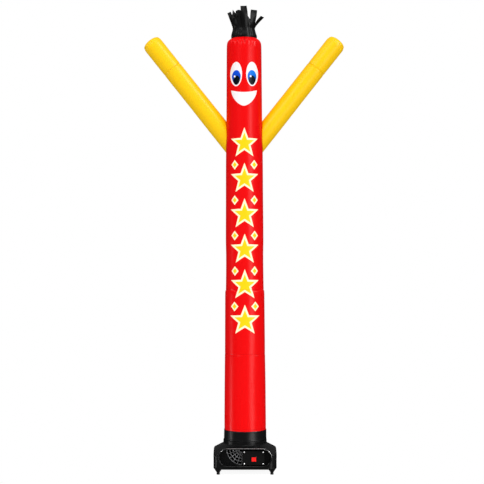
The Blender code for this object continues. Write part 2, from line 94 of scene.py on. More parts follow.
class Graph:
    # the nodes of one material or of the world
    def __init__(self, owner):
        owner.use_nodes = True
        self.owner, self.tree = owner, owner.node_tree
        self.shader = self.tree.nodes.get("Principled BSDF")

    def feed(self, socket, value):
        if isinstance(value, Wire):
            self.tree.links.new(value.socket, socket)
        else:
            socket.default_value = value

    def node(self, kind, settings=None, sockets=None, output=0):
        made = self.tree.nodes.new("ShaderNode" + kind)
        for key, value in (settings or {}).items():
            if key == "stops":
                for place, colour in value[1:-1]:
                    made.color_ramp.elements.new(place)
                for stop, (place, colour) in zip(made.color_ramp.elements, value):
                    stop.position, stop.color = place, colour
            else:
                setattr(made, key, value)
        for key, value in (sockets or {}).items():
            self.feed(made.inputs[key], value)
        return Wire(self, made.outputs[output])

    def maths(self, operation, *values):
        return self.node("Math", {"operation": operation}, dict(enumerate(values)))

    def clamp(self, value):
        return self.node("Math", {"operation": "ADD", "use_clamp": True}, {0: value, 1: 0.0})

    def mask(self, distance, blur):
        # 1 where the distance is above zero, with an edge as wide as blur
        return self.clamp(distance / blur + 0.5)

    def mix(self, share, first, second):
        return self.node("Mix", {"data_type": "RGBA"}, {0: share, 6: first, 7: second}, 2)

    def noise(self, vector, scale, detail=2.0, roughness=0.5):
        return self.node("TexNoise", {}, {"Vector": vector, "Scale": scale, "Detail": detail,
                                          "Roughness": roughness})

    def object(self):
        return self.node("TexCoord", output=3)

    def parts(self, vector):
        split = self.node("SeparateXYZ", {}, {0: vector})
        return [Wire(self, output) for output in split.socket.node.outputs]

    def clothMap(self):
        # the cloth's own map, then the metres round it from its front and the metres up it
        spot = self.node("UVMap", {"uv_map": "cloth"})
        return (spot, *self.parts(spot)[:2])

    def bump(self, height, distance, strength=1.0, below=None):
        sockets = {"Height": height, "Distance": distance, "Strength": strength}
        if below is not None:
            sockets["Normal"] = below
        return self.node("Bump", {}, sockets)

    def surface(self, varying, fixed):
        for key, value in {**varying, **fixed}.items():
            self.feed(self.shader.inputs[key], value)
        return self.owner


def newGraph(name):
    return Graph(bpy.data.materials.new(name))


def tone(red, green=None, blue=None):
    # a colour from its screen values, 0 to 255
    parts = [red, red if green is None else green, red if blue is None else blue]
    linear = [c / 255 / 12.92 if c < 10.3 else ((c / 255 + 0.055) / 1.055) ** 2.4 for c in parts]
    return (*linear, 1.0)


# the cloths
nylon = {
    "red": (0.80, 0.0008, 0.0018, 1.0),
    "redThread": (0.42, 0.0010, 0.0020, 1.0),
    "yellow": (0.98, 0.585, 0.0008, 1.0),
    "yellowThread": (0.62, 0.33, 0.002, 1.0),
    "black": (0.0045, 0.0045, 0.0048, 1.0),
    "hair": (0.0026, 0.0026, 0.0027, 1.0),
    "thread": 0.0011,           # pitch of the weave
    "slub": 0.12,               # how much slower it changes along a thread
    "weaveDepth": 0.00012,
    "weaveShare": 0.12,
    "soft": 0.0010,             # depth of the broad unevenness
    "redStitches": (0.322, 0.8495, 0.8645, 1.3190, 1.3350, 3.1645),
    "yellowStitches": (0.834, 0.8445, 0.8580, 1.0905),
    "cuffStitches": (0.2425, 0.3020),
    "stitchPitch": 0.0050,
    "stitchShare": 0.66,        # of the pitch that is thread
    "stitchHalf": 0.0008,
    "stitchDepth": 2.0,         # in depths of the weave
}


def weave(graph, spot):
    # threads both ways, a little uneven
    quick, slow = 1 / nylon["thread"], nylon["slub"] / nylon["thread"]
    across, along = [graph.noise(graph.node("Mapping", {}, {0: spot, 3: scale}), 1.0, 1.0)
                     for scale in ((quick, slow, 1), (slow, quick, 1))]
    return across + along


def stitchMask(graph, u, v, heights):
    dash = graph.maths("FRACT", u / nylon["stitchPitch"]) < nylon["stitchShare"]
    total = None
    for height in heights:
        near = abs(v - height) < nylon["stitchHalf"]
        total = near if total is None else graph.maths("MAXIMUM", total, near)
    return dash * total


# the face and the stars printed on the red cloth, and a painted shade line in the crown's front tuck, in
# metres on its front
printBlur = 0.0012              # how soft the edge of a print is
facePrintAndTuckShade = {
    "reach": 0.205,             # how far round from the front the face may go
    "bend": 0.1300,             # radius of the tube that it lies round
    "eyes": ((-0.0611, 2.8995), (0.0600, 2.8995)),
    "eyeHalf": (0.0446, 0.0880),
    "irises": ((-0.0602, 2.8790), (0.0588, 2.8790)),
    "irisHalf": (0.0334, 0.0490, 0.0590),   # across, up and down
    "irisFoot": 0.058,          # below the middle of the iris
    "irisHeight": 0.10,
    # from the foot of the iris to its top
    "irisStops": (0.0, 0.30, 0.55, 1.0),
    "irisTones": (((2, 12, 60), (4, 36, 120), (4, 68, 190), (14, 76, 214)),
                  ((0, 12, 60), (0, 44, 112), (0, 96, 200), (0, 124, 236))),
    "pupils": ((-0.0572, 2.8535), (0.0614, 2.8535)),
    "pupilHalf": (0.0245, 0.0350),
    "glints": ((-0.0730, 2.8829), (0.0490, 2.8824)),
    "glintSize": 0.0070,
    "smile": (-0.0019, 2.7830),
    "smileHalf": 0.0966,
    "smileDepth": 0.1150,
    "smileDip": 0.0155,
    # painted shade, not print: a dark line where the crown's front tuck lies in shadow
    "paintedTuckShade": (0.0043, 3.1310, 0.0034),   # aside, foot, half width
}
starPrint = {"top": 2.395, "pitch": 0.257, "count": 6, "size": 0.116, "inner": 0.42,
             "outline": 0.013, "diamondSide": 0.075, "diamondDrop": 0.6,
             "diamondHalf": (0.030, 0.035), "diamondOutline": 0.010}


def printedFaceAndTuckShade(graph, u, v, cloth):
    front = abs(u) < facePrintAndTuckShade["reach"]
    x = graph.maths("SINE", u / facePrintAndTuckShade["bend"]) * facePrintAndTuckShade["bend"]
    white, black = tone(243, 237, 239), tone(0, 10, 20)
    colour = cloth

    def oval(centre, half, lower=None):
        # 1 inside an oval; lower gives its lower half another height and a narrower end
        aside, rise = x - centre[0], v - centre[1]
        across, up = aside / half[0], rise / half[1]
        if lower is not None:
            fall = rise / -lower
            up = graph.maths("MAXIMUM", up, fall)
            across = across * (graph.clamp(fall) * 0.22 + 1)
        reach = graph.maths("SQRT", across ** 2 + up ** 2)
        return graph.mask((1 - reach) * min(half), printBlur)

    for side in (0, 1):
        eye = oval(facePrintAndTuckShade["eyes"][side], facePrintAndTuckShade["eyeHalf"])
        colour = graph.mix(eye * front, colour, white)
        spot = facePrintAndTuckShade["irises"][side]
        iris = oval(spot, facePrintAndTuckShade["irisHalf"], facePrintAndTuckShade["irisHalf"][2])
        stops = [(place, tone(*shade)) for place, shade
                 in zip(facePrintAndTuckShade["irisStops"], facePrintAndTuckShade["irisTones"][side])]
        up = graph.clamp((v - (spot[1] - facePrintAndTuckShade["irisFoot"])) / facePrintAndTuckShade["irisHeight"])
        colour = graph.mix(iris * front, colour, graph.node("ValToRGB", {"stops": stops}, {0: up}))
        pupil = oval(facePrintAndTuckShade["pupils"][side], facePrintAndTuckShade["pupilHalf"])
        colour = graph.mix(pupil * iris * front, colour, black)
        glint = oval(facePrintAndTuckShade["glints"][side], (facePrintAndTuckShade["glintSize"],) * 2)
        colour = graph.mix(glint * front, colour, white)
    middle, corner = facePrintAndTuckShade["smile"]
    across = abs((x - middle) / facePrintAndTuckShade["smileHalf"])
    drop = corner - v
    down = graph.maths("MAXIMUM", drop / facePrintAndTuckShade["smileDepth"], 0.0)
    bowl = graph.mask((1 - (across ** 1.7 + down ** 1.7)) * 0.05, 0.0015)
    top = graph.mask(drop - (1 - across * across) * facePrintAndTuckShade["smileDip"], printBlur)
    colour = graph.mix(bowl * top * front, colour, white)
    # painted shade: a dark line drawn where the short tuck at the crown's front folds into shadow
    aside, foot, half = facePrintAndTuckShade["paintedTuckShade"]
    paintedTuckShade = graph.mask(half - abs(u - aside), 0.0020) * graph.mask(v - foot, 0.0060)
    return graph.mix(paintedTuckShade * 0.7, colour, tone(185, 0, 6))


def printedStars(graph, u, v, cloth):
    size, pitch = starPrint["size"], starPrint["pitch"]
    yellow, cream = tone(252, 208, 20), tone(255, 250, 205)

    def step(value, most):
        whole = graph.maths("FLOOR", value)
        return graph.maths("MINIMUM", graph.maths("MAXIMUM", whole, 0.0), float(most))

    number = step((starPrint["top"] - v) / pitch + 0.5, starPrint["count"] - 1)
    up = v - (starPrint["top"] - number * pitch)
    # fold the five points of the star onto one and measure to the edge between tip and notch
    reach = graph.maths("SQRT", u * u + up * up)
    turn = graph.maths("ARCTAN2", u, up) + pi / 5
    turn = abs(graph.maths("FLOORED_MODULO", turn, 2 * pi / 5) - pi / 5)
    side, ahead = reach * graph.maths("SINE", turn), reach * graph.maths("COSINE", turn)
    inner = size * starPrint["inner"]
    notch = Vector((inner * sin(pi / 5), inner * cos(pi / 5)))
    edge = (notch - Vector((0, size))).normalized()
    inside = (ahead - size) * edge.x - side * edge.y
    colour = graph.mix(graph.mask(-inside, printBlur), cloth, cream)
    colour = graph.mix(graph.mask(-inside - starPrint["outline"], printBlur), colour, yellow)
    drop = starPrint["top"] - pitch * starPrint["diamondDrop"]
    number = step((drop - v) / pitch + 0.5, starPrint["count"] - 2)
    up = abs(v - (drop - number * pitch))
    side = abs(abs(u) - starPrint["diamondSide"])
    wide, tall = starPrint["diamondHalf"]
    inside = (1 - (side / wide + up / tall)) * (wide * tall / hypot(wide, tall))
    colour = graph.mix(graph.mask(inside, printBlur), colour, cream)
    return graph.mix(graph.mask(inside - starPrint["diamondOutline"], printBlur), colour, yellow)


def nylonMaterial(name, base, thread, stitches, gloss, prints=()):
    graph = newGraph(name)
    spot, u, v = graph.clothMap()
    soft = graph.noise(graph.object(), 3.1, 2.0)
    fine = graph.noise(graph.object(), 24.0, 3.0)
    worn = graph.clamp((soft - 0.5) * 0.55 + (fine - 0.5) * 0.18 + 0.5)
    darker = tuple(0.96 * c for c in base[:3]) + (1.0,)
    brighter = tuple(min(1.0, 1.03 * c) for c in base[:3]) + (1.0,)
    colour = graph.mix(worn, darker, brighter)
    for artwork in prints:
        colour = artwork(graph, u, v, colour)
    height = weave(graph, spot)
    varying = {"Roughness": (worn - 0.5) * 0.16 + gloss["roughness"]}
    low = graph.bump(graph.noise(graph.object(), 16.0, 2.0), gloss.get("soft", nylon["soft"]), 0.4)
    if stitches:
        sewn = stitchMask(graph, u, v, stitches)
        colour = graph.mix(sewn * 0.75, colour, thread)
        height = height - sewn * nylon["stitchDepth"]
    varying["Base Color"] = colour
    varying["Normal"] = graph.bump(height, nylon["weaveDepth"], nylon["weaveShare"], low)
    return graph.surface(varying, {"Specular IOR Level": gloss["specular"]})


redNylon = nylonMaterial("red_nylon_print_and_tuck_shade", nylon["red"], nylon["redThread"], nylon["redStitches"],
                         {"roughness": 0.28, "specular": 0.06}, (printedFaceAndTuckShade, printedStars))
yellowNylon = nylonMaterial("yellow_nylon", nylon["yellow"], nylon["yellowThread"],
                            nylon["yellowStitches"], {"roughness": 0.36, "specular": 0.12})
cuffNylon = nylonMaterial("black_cuff_nylon", nylon["black"], tone(30), nylon["cuffStitches"],
                          {"roughness": 0.34, "specular": 0.14})
hairNylon = nylonMaterial("black_hair_nylon", nylon["hair"], tone(30), (),
                          {"roughness": 0.40, "specular": 0.09, "soft": 0.0022})
print("cloth materials made")


@lru_cache(None)
def profileAt(rows, height, column=1):
    # a smooth curve through rows of (height, radius, ...) that doesn't overshoot
    count = len(rows)
    if height <= rows[0][0]:
        return rows[0][column]
    if height >= rows[-1][0]:
        return rows[-1][column]
    gaps = [rows[i + 1][0] - rows[i][0] for i in range(count - 1)]
    rises = [(rows[i + 1][column] - rows[i][column]) / gaps[i] for i in range(count - 1)]
    slopes = [rises[0]]
    for i in range(1, count - 1):
        a, b = rises[i - 1], rises[i]
        slopes.append(0.0 if a * b <= 0 else 2 * a * b / (a + b))
    slopes.append(rises[-1])
    i = max(k for k in range(count - 1) if rows[k][0] <= height)
    t, gap = (height - rows[i][0]) / gaps[i], gaps[i]
    return ((2 * t ** 3 - 3 * t * t + 1) * rows[i][column] + (t ** 3 - 2 * t * t + t) * gap * slopes[i]
            + (3 * t * t - 2 * t ** 3) * rows[i + 1][column] + (t ** 3 - t * t) * gap * slopes[i + 1])


def stepped(*stretches):
    # heights from stretches of (from, to, step)
    heights = []
    for low, high, step in stretches:
        count = max(1, round((high - low) / step))
        heights += [low + (high - low) * i / count for i in range(count)]
    return heights + [stretches[-1][1]]


def waves(angle, height, scale, seed):
    # smooth unevenness round and up a tube, from about -1 to 1
    return noise.noise(Vector((sin(angle) * scale[0], -cos(angle) * scale[0] + seed, height * scale[1])))


def clipped(value):
    return min(1.0, max(0.0, value))


def swell(x, half):
    return exp(-(x / half) ** 2)


def turnGap(angle, other):
    # difference of two angles, from -pi to pi
    return (angle - other + pi) % (2 * pi) - pi


def pleat(angle, radius, pleats, width=1.0):
    # troughs at given turns (degrees from the front, depth, half width in metres)
    total = 0.0
    for turn, depth, half in pleats:
        across = turnGap(angle, radians(turn)) * radius / (half * width)
        if abs(across) < 3:
            total += depth * (0.30 * swell(abs(across) - 1.7, 0.7) - exp(-across * across))
    return total


def crease(angle, height, radius, creases):
    # soft troughs with raised shoulders: (turn, height, half length round, half length up, depth)
    total = 0.0
    for turn, level, roundHalf, upHalf, depth in creases:
        up = (height - level) / upHalf
        if abs(up) < 3:
            across = turnGap(angle, radians(turn)) * radius / roundHalf
            if abs(across) < 3:
                thin, lengthwise = (up, across) if upHalf < roundHalf else (across, up)
                total -= depth * (1 - 1.2 * thin * thin) * exp(-thin * thin) * exp(-lengthwise ** 4)
    return total


def ringSkin(name, heights, around, shape, place, arc, tip=None):
    # a closed sleeve of cloth; shape gives the reach and level at an angle from the front
    angles = [2 * pi * i / around - pi for i in range(around + 1)]
    points, faces, marks, levels = [], [], [], []
    for height in heights:
        for angle in angles[:-1]:
            reach, level = shape(angle, height)
            points.append(place @ Vector((reach * sin(angle), -reach * cos(angle), level)))
            levels.append(level)
    for low in range(0, (len(heights) - 1) * around, around):
        for i in range(around):
            k, high = (i + 1) % around, low + around
            corners = (low + i, low + k, high + k, high + i)
            faces.append(corners)
            marks.append([(angles[i + n] * arc, levels[c]) for c, n in zip(corners, (0, 1, 1, 0))])
    if tip is not None:
        points.append(place @ Vector((0, 0, tip)))
        for i in range(around):
            low = (len(heights) - 1) * around
            faces.append((low + i, low + (i + 1) % around, len(points) - 1))
            marks.append([(angles[i] * arc, levels[low + i]), (angles[i + 1] * arc, levels[low + i]),
                          ((angles[i] + angles[i + 1]) / 2 * arc, tip)])
    if place.determinant() < 0:
        faces, marks = [f[::-1] for f in faces], [m[::-1] for m in marks]
    return meshObject(name, points, faces, marks)


def meshObject(name, points, faces, marks):
    mesh = bpy.data.meshes.new(name)
    mesh.from_pydata(points, [], faces)
    layer = mesh.uv_layers.new(name="cloth")
    layer.data.foreach_set("uv", [value for face in marks for spot in face for value in spot])
    made = bpy.data.objects.new(name, mesh)
    bpy.context.scene.collection.objects.link(made)
    return made


def only(item):
    bpy.ops.object.select_all(action="DESELECT")
    item.select_set(True)
    bpy.context.view_layer.objects.active = item
    return item


def applied(item, kind, **settings):
    change = item.modifiers.new(kind.lower(), kind)
    for key, value in settings.items():
        setattr(change, key, value)
    only(item)
    bpy.ops.object.modifier_apply(modifier=change.name)
    return item


def thicken(item, wall):
    return applied(item, "SOLIDIFY", thickness=wall, offset=-1.0)


def finish(item, material, nodes, body="stand", smooth=60):
    # material, smooth shading, the solids it stands for and the body it rides on
    item.data.materials.clear()
    item.data.materials.append(material)
    only(item)
    bpy.ops.object.shade_smooth_by_angle(angle=radians(smooth))
    if smooth < 60:
        applied(item, "WEIGHTED_NORMAL", keep_sharp=True)
    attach(item, body)
    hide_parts(*nodes)
    return item


# the blown-up cloth leans a little to the left about the top of the outlet
lean = {"foot": (0.0087, 0.0, 0.2935), "degrees": 0.165}
foot = Vector(lean["foot"])
leaning = (Matrix.Translation(foot) @ Matrix.Rotation(-radians(lean["degrees"]), 4, "Y")
           @ Matrix.Translation((0, 0, -foot.z)))

wall = 0.002                    # of all the cloth but the hair
tubeArc = 0.1366                # radius that the print's metres are measured at
lowerTube = {
    "around": 144,
    "rows": ((0.2965, 0.1512), (0.3010, 0.1517), (0.342, 0.1523), (0.518, 0.1512), (0.8555, 0.1474),
             (0.8600, 0.1466), (0.871, 0.1469), (1.224, 0.1448), (1.296, 0.1443), (1.316, 0.1436),
             (1.3235, 0.1418), (1.327, 0.1404)),
    "steps": ((0.2965, 0.330, 0.0048), (0.330, 0.430, 0.010), (0.430, 0.670, 0.004),
              (0.670, 0.840, 0.012), (0.840, 0.875, 0.0022), (0.875, 1.270, 0.0125),
              (1.270, 1.327, 0.0030)),
    # turn, height, half length round, half length up, depth
    "creases": (
        (20, 0.650, 0.034, 0.0062, 0.0007), (24, 0.632, 0.030, 0.0055, 0.0006),
        (18, 0.614, 0.036, 0.0060, 0.0008), (23, 0.597, 0.028, 0.0055, 0.0006),
        (17, 0.577, 0.030, 0.0065, 0.0007), (22, 0.495, 0.030, 0.0060, 0.0007),
        (15, 0.4735, 0.034, 0.0055, 0.0006), (20, 0.462, 0.026, 0.0050, 0.0005),
        (9.5, 0.345, 0.0045, 0.050, 0.0007), (-48, 0.560, 0.030, 0.0070, 0.0006),
        (-150, 0.600, 0.040, 0.0070, 0.0008), (160, 0.520, 0.036, 0.0080, 0.0008),
        (118, 0.640, 0.032, 0.0060, 0.0006), (-95, 0.420, 0.034, 0.0080, 0.0006),
    ),
}
upperTube = {
    "around": 192,
    "rows": ((1.315, 0.1384), (1.327, 0.1386), (1.335, 0.1391), (1.350, 0.1387), (1.577, 0.1366),
             (1.695, 0.1384), (2.020, 0.1366), (2.283, 0.1354), (2.518, 0.1320), (2.988, 0.1286),
             (3.102, 0.1275), (3.124, 0.1266), (3.139, 0.1242), (3.150, 0.1196), (3.158, 0.1138),
             (3.1655, 0.1052), (3.1695, 0.0990), (3.173, 0.0958)),
    "steps": ((1.315, 1.350, 0.0032), (1.350, 2.270, 0.0125), (2.270, 2.590, 0.0062),
              (2.590, 3.085, 0.0125), (3.085, 3.173, 0.0024)),
    # where the crown's folds begin, how fast they deepen, and the hem that they end under
    "foldStart": 3.100, "foldRise": 0.044, "hemTop": 3.176, "hemDepth": 0.010, "foldRadius": 0.115,
    # turn, depth, half width
    "crown": (
        (-28, 0.0034, 0.0085), (-11, 0.0026, 0.0055), (2.0, 0.0062, 0.0042), (20, 0.0036, 0.0075),
        (35, 0.0032, 0.0070), (54, 0.0036, 0.0095), (73, 0.0024, 0.0065), (104, 0.0031, 0.0090),
        (119, 0.0024, 0.0070), (133, 0.0018, 0.0060), (149, 0.0034, 0.0100), (169, 0.0026, 0.0080),
        (-46, 0.0026, 0.0060), (-61, 0.0034, 0.0090), (-77, 0.0020, 0.0065), (-104, 0.0030, 0.0095),
        (-119, 0.0020, 0.0070), (-135, 0.0032, 0.0090), (-154, 0.0024, 0.0080),
        (-172, 0.0020, 0.0060),
    ),
    "creases": ((-62, 2.44, 0.010, 0.060, 0.0008), (62, 2.45, 0.010, 0.060, 0.0008),
                (-118, 2.47, 0.012, 0.050, 0.0009), (121, 2.45, 0.012, 0.055, 0.0009)),
}
crossSeams = ((0.8575, 0.0011, 0.0030), (1.3285, 0.0006, 0.0030))   # height, depth, half width
tubeDetail = {"swell": 0.0010, "ripple": 0.00035, "pucker": 0.0010, "backSeam": 0.0011}


def tubeReach(angle, height, rows, creases):
    reach = profileAt(rows, height)
    reach += tubeDetail["swell"] * waves(angle, height, (1.3, 1.7), 3.7) * 0.8
    reach += tubeDetail["ripple"] * waves(angle, height, (4.5, 5.0), 11.2)
    for level, depth, half in crossSeams:
        near = height - level
        reach -= depth * swell(near, half)
        # short gathers run away from a seam
        reach += tubeDetail["pucker"] * swell(near, 0.016) * waves(angle, level, (9.0, 0.0), level * 7)
    reach += crease(angle, height, tubeArc, creases)
    behind = (pi - abs(angle)) * tubeArc
    return reach + tubeDetail["backSeam"] * (swell(behind, 0.0035) - 0.5 * swell(behind - 0.009, 0.004))


def lowerShape(angle, height):
    return tubeReach(angle, height, lowerTube["rows"], lowerTube["creases"]), height


def upperShape(angle, height):
    reach = tubeReach(angle, height, upperTube["rows"], upperTube["creases"])
    if height > upperTube["foldStart"]:
        # the crown is drawn in: deep folds above its shoulder that end under the hem
        grow = clipped((height - upperTube["foldStart"]) / upperTube["foldRise"])
        hem = clipped((upperTube["hemTop"] - height) / upperTube["hemDepth"])
        folds = pleat(angle, upperTube["foldRadius"], upperTube["crown"], 0.8 + 0.5 * (1 - grow))
        reach += folds * grow * (0.16 + 0.84 * hem)
    return reach, height


lowerCloth = ringSkin("lowerTubeCloth", stepped(*lowerTube["steps"]), lowerTube["around"], lowerShape,
                      leaning, tubeArc)
thicken(lowerCloth, wall)
upperCloth = ringSkin("upperTubeCloth", stepped(*upperTube["steps"]), upperTube["around"], upperShape,
                      leaning, tubeArc)

# an arm: an inner sleeve, an outer one past a cross seam, and a round end
arm = {"degrees": 38.4, "height": 2.287, "back": 0.040, "hole": 0.064, "around": 96, "fine": 192,
       "arc": 0.0722}
innerSleeve = {
    "rows": ((0.060, 0.0734), (0.300, 0.0732), (0.560, 0.0722), (0.830, 0.0722), (0.843, 0.0718),
             (0.850, 0.0704)),
    "end": 0.850,
    "shares": ((0.0, 0.034, 0.0056), (0.034, 0.930, 0.0185), (0.930, 1.0, 0.0044)),
}
outerSleeve = {
    "rows": ((0.8400, 0.0674), (0.8500, 0.0677), (0.8530, 0.0698), (0.862, 0.0713), (0.900, 0.0719),
             (0.960, 0.0720), (1.066, 0.0722), (1.083, 0.0714), (1.095, 0.0674)),
    "steps": ((0.840, 0.875, 0.0026), (0.875, 1.060, 0.0078), (1.060, 1.095, 0.0024)),
}
endCap = {"start": 1.0954, "radius": 0.0669, "rise": 0.0280, "rings": 16, "lastRing": 86.5}
armDetail = {"swell": 0.0007, "ripple": 0.00025, "pucker": 0.0007, "hem": 0.0004, "backSeam": 0.0009,
             "backSeamTurn": 120, "gatherRadius": 0.068, "gatherHalf": 0.0135}
# turn, depth, half width and how far along: the gathers of each arm's end
armEnds = {
    "left": ((-27, 0.0036, 0.0042, 1.100), (0, 0.0032, 0.0040, 1.100), (28, 0.0038, 0.0044, 1.100),
             (62, 0.0036, 0.0048, 1.084), (-52, 0.0022, 0.0040, 1.098), (95, 0.0030, 0.0050, 1.096),
             (126, 0.0024, 0.0042, 1.102), (161, 0.0034, 0.0050, 1.097), (-168, 0.0022, 0.0040, 1.104),
             (-134, 0.0032, 0.0050, 1.094), (-96, 0.0028, 0.0046, 1.101), (-76, 0.0018, 0.0036, 1.104)),
    "right": ((-21.5, 0.0036, 0.0042, 1.096), (0, 0.0032, 0.0040, 1.108), (25, 0.0038, 0.0044, 1.106),
              (46, 0.0034, 0.0048, 1.072), (72, 0.0024, 0.0042, 1.102), (-50, 0.0028, 0.0044, 1.098),
              (-83, 0.0022, 0.0040, 1.103), (-112, 0.0034, 0.0050, 1.095), (-146, 0.0024, 0.0042, 1.103),
              (178, 0.0032, 0.0050, 1.096), (142, 0.0026, 0.0044, 1.101), (106, 0.0032, 0.0050, 1.094)),
}
sides = {"left": -1, "right": 1}


def armPlace(side):
    # an arm's own axes: away from the tube and down, to the back, and out along the arm
    tilt, sign = radians(arm["degrees"]), sides[side]
    axes = Matrix(((sign * cos(tilt), 0, sign * sin(tilt), 0), (0, 1, 0, arm["back"]),
                   (-sin(tilt), 0, cos(tilt), arm["height"]), (0, 0, 0, 1)))
    return leaning @ axes


def alongTo(radius, u, deep):
    # how far out along the arm a line at u and deep leaves a tube of this radius
    tilt = radians(arm["degrees"])
    return (sqrt(radius ** 2 - deep ** 2) - u * cos(tilt)) / sin(tilt)


def tubeSurfaceAlong(angle, reach):
    # where a line along the arm, at this angle and reach, comes out of the body tube
    tilt = radians(arm["degrees"])
    u, back = reach * sin(angle), arm["back"] - reach * cos(angle)
    along = 0.2
    for _ in range(6):
        height = arm["height"] - u * sin(tilt) + along * cos(tilt)
        along = alongTo(profileAt(upperTube["rows"], height) + 0.0012, u, back)
    return along


def armReach(side, angle, along, rows):
    seed = 20.3 + 9 * sides[side]
    reach = profileAt(rows, along)
    reach += (armDetail["swell"] * waves(angle, along, (1.2, 2.6), seed)
              + armDetail["ripple"] * waves(angle, along, (3.6, 9.0), seed + 4))
    # the cross seam at 0.850, with its puckers and its hem
    reach += (armDetail["pucker"] * swell(along - 0.851, 0.014)
              * waves(angle, 0.85, (5.5, 0.0), seed + 9))
    reach -= armDetail["hem"] * swell(along - 0.834, 0.0022)
    for turn, depth, half, level in armEnds[side]:
        across = turnGap(angle, radians(turn)) * armDetail["gatherRadius"] / half
        if abs(across) < 3:
            gather = depth * (0.25 * swell(abs(across) - 1.6, 0.7) - exp(-across * across))
            reach += gather * swell(along - level, armDetail["gatherHalf"])
    under = turnGap(angle, radians(armDetail["backSeamTurn"])) * arm["arc"]
    seam = swell(under, 0.0030) - 0.5 * swell(abs(under) - 0.007, 0.003)
    return reach + armDetail["backSeam"] * seam


def innerShape(side):
    rootAlong, rootReach = innerSleeve["rows"][0]

    def shape(angle, share):
        root = tubeSurfaceAlong(angle, rootReach)
        along = root + (innerSleeve["end"] - root) * share
        out = along - root
        reach = armReach(side, angle, max(along, rootAlong), innerSleeve["rows"])
        reach += exp(-out / 0.012) * 0.0009 * waves(angle, 0.0, (5.0, 0.0), 31.0 + sides[side])
        reach -= 0.0012 * exp(-out / 0.004)
        if share == 0:
            along = tubeSurfaceAlong(angle, reach)
        return reach, along
    return shape


def outerShape(side):
    return lambda angle, along: (armReach(side, angle, along, outerSleeve["rows"]), along)


def capShape(side):
    def shape(angle, rise):
        along = endCap["start"] + endCap["rise"] * sin(rise)
        level = endCap["radius"] * cos(rise) ** 0.93
        seed = 55.0 + 6 * sides[side]
        pulled = armReach(side, angle, along, ((0.0, 0.0), (2.0, 0.0))) * cos(rise) ** 0.6
        # gathers of the round end run in towards its middle
        pulled += 0.0011 * sin(2 * rise) * waves(angle, 0.0, (4.2, 0.0), seed)
        return level + pulled, along
    return shape


armClothes = {}
for side in sides:
    place = armPlace(side)
    shares = stepped(*innerSleeve["shares"])
    inner = ringSkin(side + "InnerSleeveCloth", shares, arm["around"], innerShape(side), place,
                     arm["arc"])
    count = len(inner.data.vertices)
    thicken(inner, wall)
    # the inner face of the wall is trimmed to the tube too
    back = place.inverted()
    for i in range(arm["around"]):
        for vertex in (inner.data.vertices[i], inner.data.vertices[count + i]):
            spot = back @ vertex.co
            spot.z = tubeSurfaceAlong(atan2(spot.x, -spot.y), hypot(spot.x, spot.y))
            vertex.co = place @ spot
    outer = ringSkin(side + "OuterSleeveCloth", stepped(*outerSleeve["steps"]), arm["fine"],
                     outerShape(side), place, arm["arc"])
    thicken(outer, wall)
    rises = [radians(endCap["lastRing"]) * i / endCap["rings"] for i in range(endCap["rings"] + 1)]
    cap = ringSkin(side + "EndCapCloth", rises, arm["fine"], capShape(side), place, arm["arc"],
                   endCap["start"] + endCap["rise"])
    thicken(cap, wall)
    armClothes[side] = (inner, outer, cap)
print("arms made")


def cutArmHole(item, side):
    # a hole that fills the arm: the cloth's points inside it go, and the rim is made round
    place = armPlace(side)
    back = place.inverted()
    skin = bmesh.new()
    skin.from_mesh(item.data)
    gone, kept = [], {}
    for vertex in skin.verts:
        spot = back @ vertex.co
        if spot.z > 0 and hypot(spot.x, spot.y) < arm["hole"]:
            gone.append(vertex)
        elif spot.z > 0:
            kept[vertex] = spot
    bmesh.ops.delete(skin, geom=gone, context="VERTS")
    for vertex, spot in kept.items():
        if vertex.is_boundary and spot.z < 0.5 and hypot(spot.x, spot.y) < arm["hole"] + 0.02:
            k = arm["hole"] / hypot(spot.x, spot.y)
            reach = hypot((leaning.inverted() @ vertex.co).x, vertex.co.y)
            along = alongTo(reach, spot.x * k, arm["back"] + spot.y * k)
            vertex.co = place @ Vector((spot.x * k, spot.y * k, along))
    skin.to_mesh(item.data)
    skin.free()


for side in sides:
    cutArmHole(upperCloth, side)
thicken(upperCloth, wall)
for item, node, flat, below in ((lowerCloth, "lower_tube", (0.940, 1.045), "cuffCloth"),
                                (upperCloth, "upper_tube", (0.850, 1.885), lowerCloth.name)):
    finish(item, redNylon, [node])
for side, (inner, outer, cap) in armClothes.items():
    for item, node in ((inner, "_inner_sleeve"), (outer, "_outer_sleeve"), (cap, "_end_cap")):
        finish(item, yellowNylon, [side + node])
print("body tube made")

# the strap cuff that holds the cloth on the outlet
cuff = {
    "rows": ((0.2368, 0.1560), (0.2395, 0.1564), (0.2440, 0.1557), (0.250, 0.1556), (0.285, 0.1552),
             (0.297, 0.1550), (0.3020, 0.1553), (0.3055, 0.1551), (0.3070, 0.1542)),
    "steps": ((0.2368, 0.2500, 0.0016), (0.2500, 0.2955, 0.0052), (0.2955, 0.3070, 0.0016)),
    "around": 144, "arc": 0.155,
}


def cuffShape(angle, height):
    reach = profileAt(cuff["rows"], height) + 0.00045 * waves(angle, height, (2.6, 14.0), 8.8)
    low = swell(height - cuff["rows"][0][0], 0.012)
    return reach + 0.0004 * low * waves(angle, 0.0, (8.0, 0.0), 2.2), height


cuffCloth = ringSkin("cuffCloth", stepped(*cuff["steps"]), cuff["around"], cuffShape,
                     Matrix.Translation((foot.x, 0, 0)), cuff["arc"])
thicken(cuffCloth, wall)
finish(cuffCloth, cuffNylon, ["cuff"])
print("cuff made")

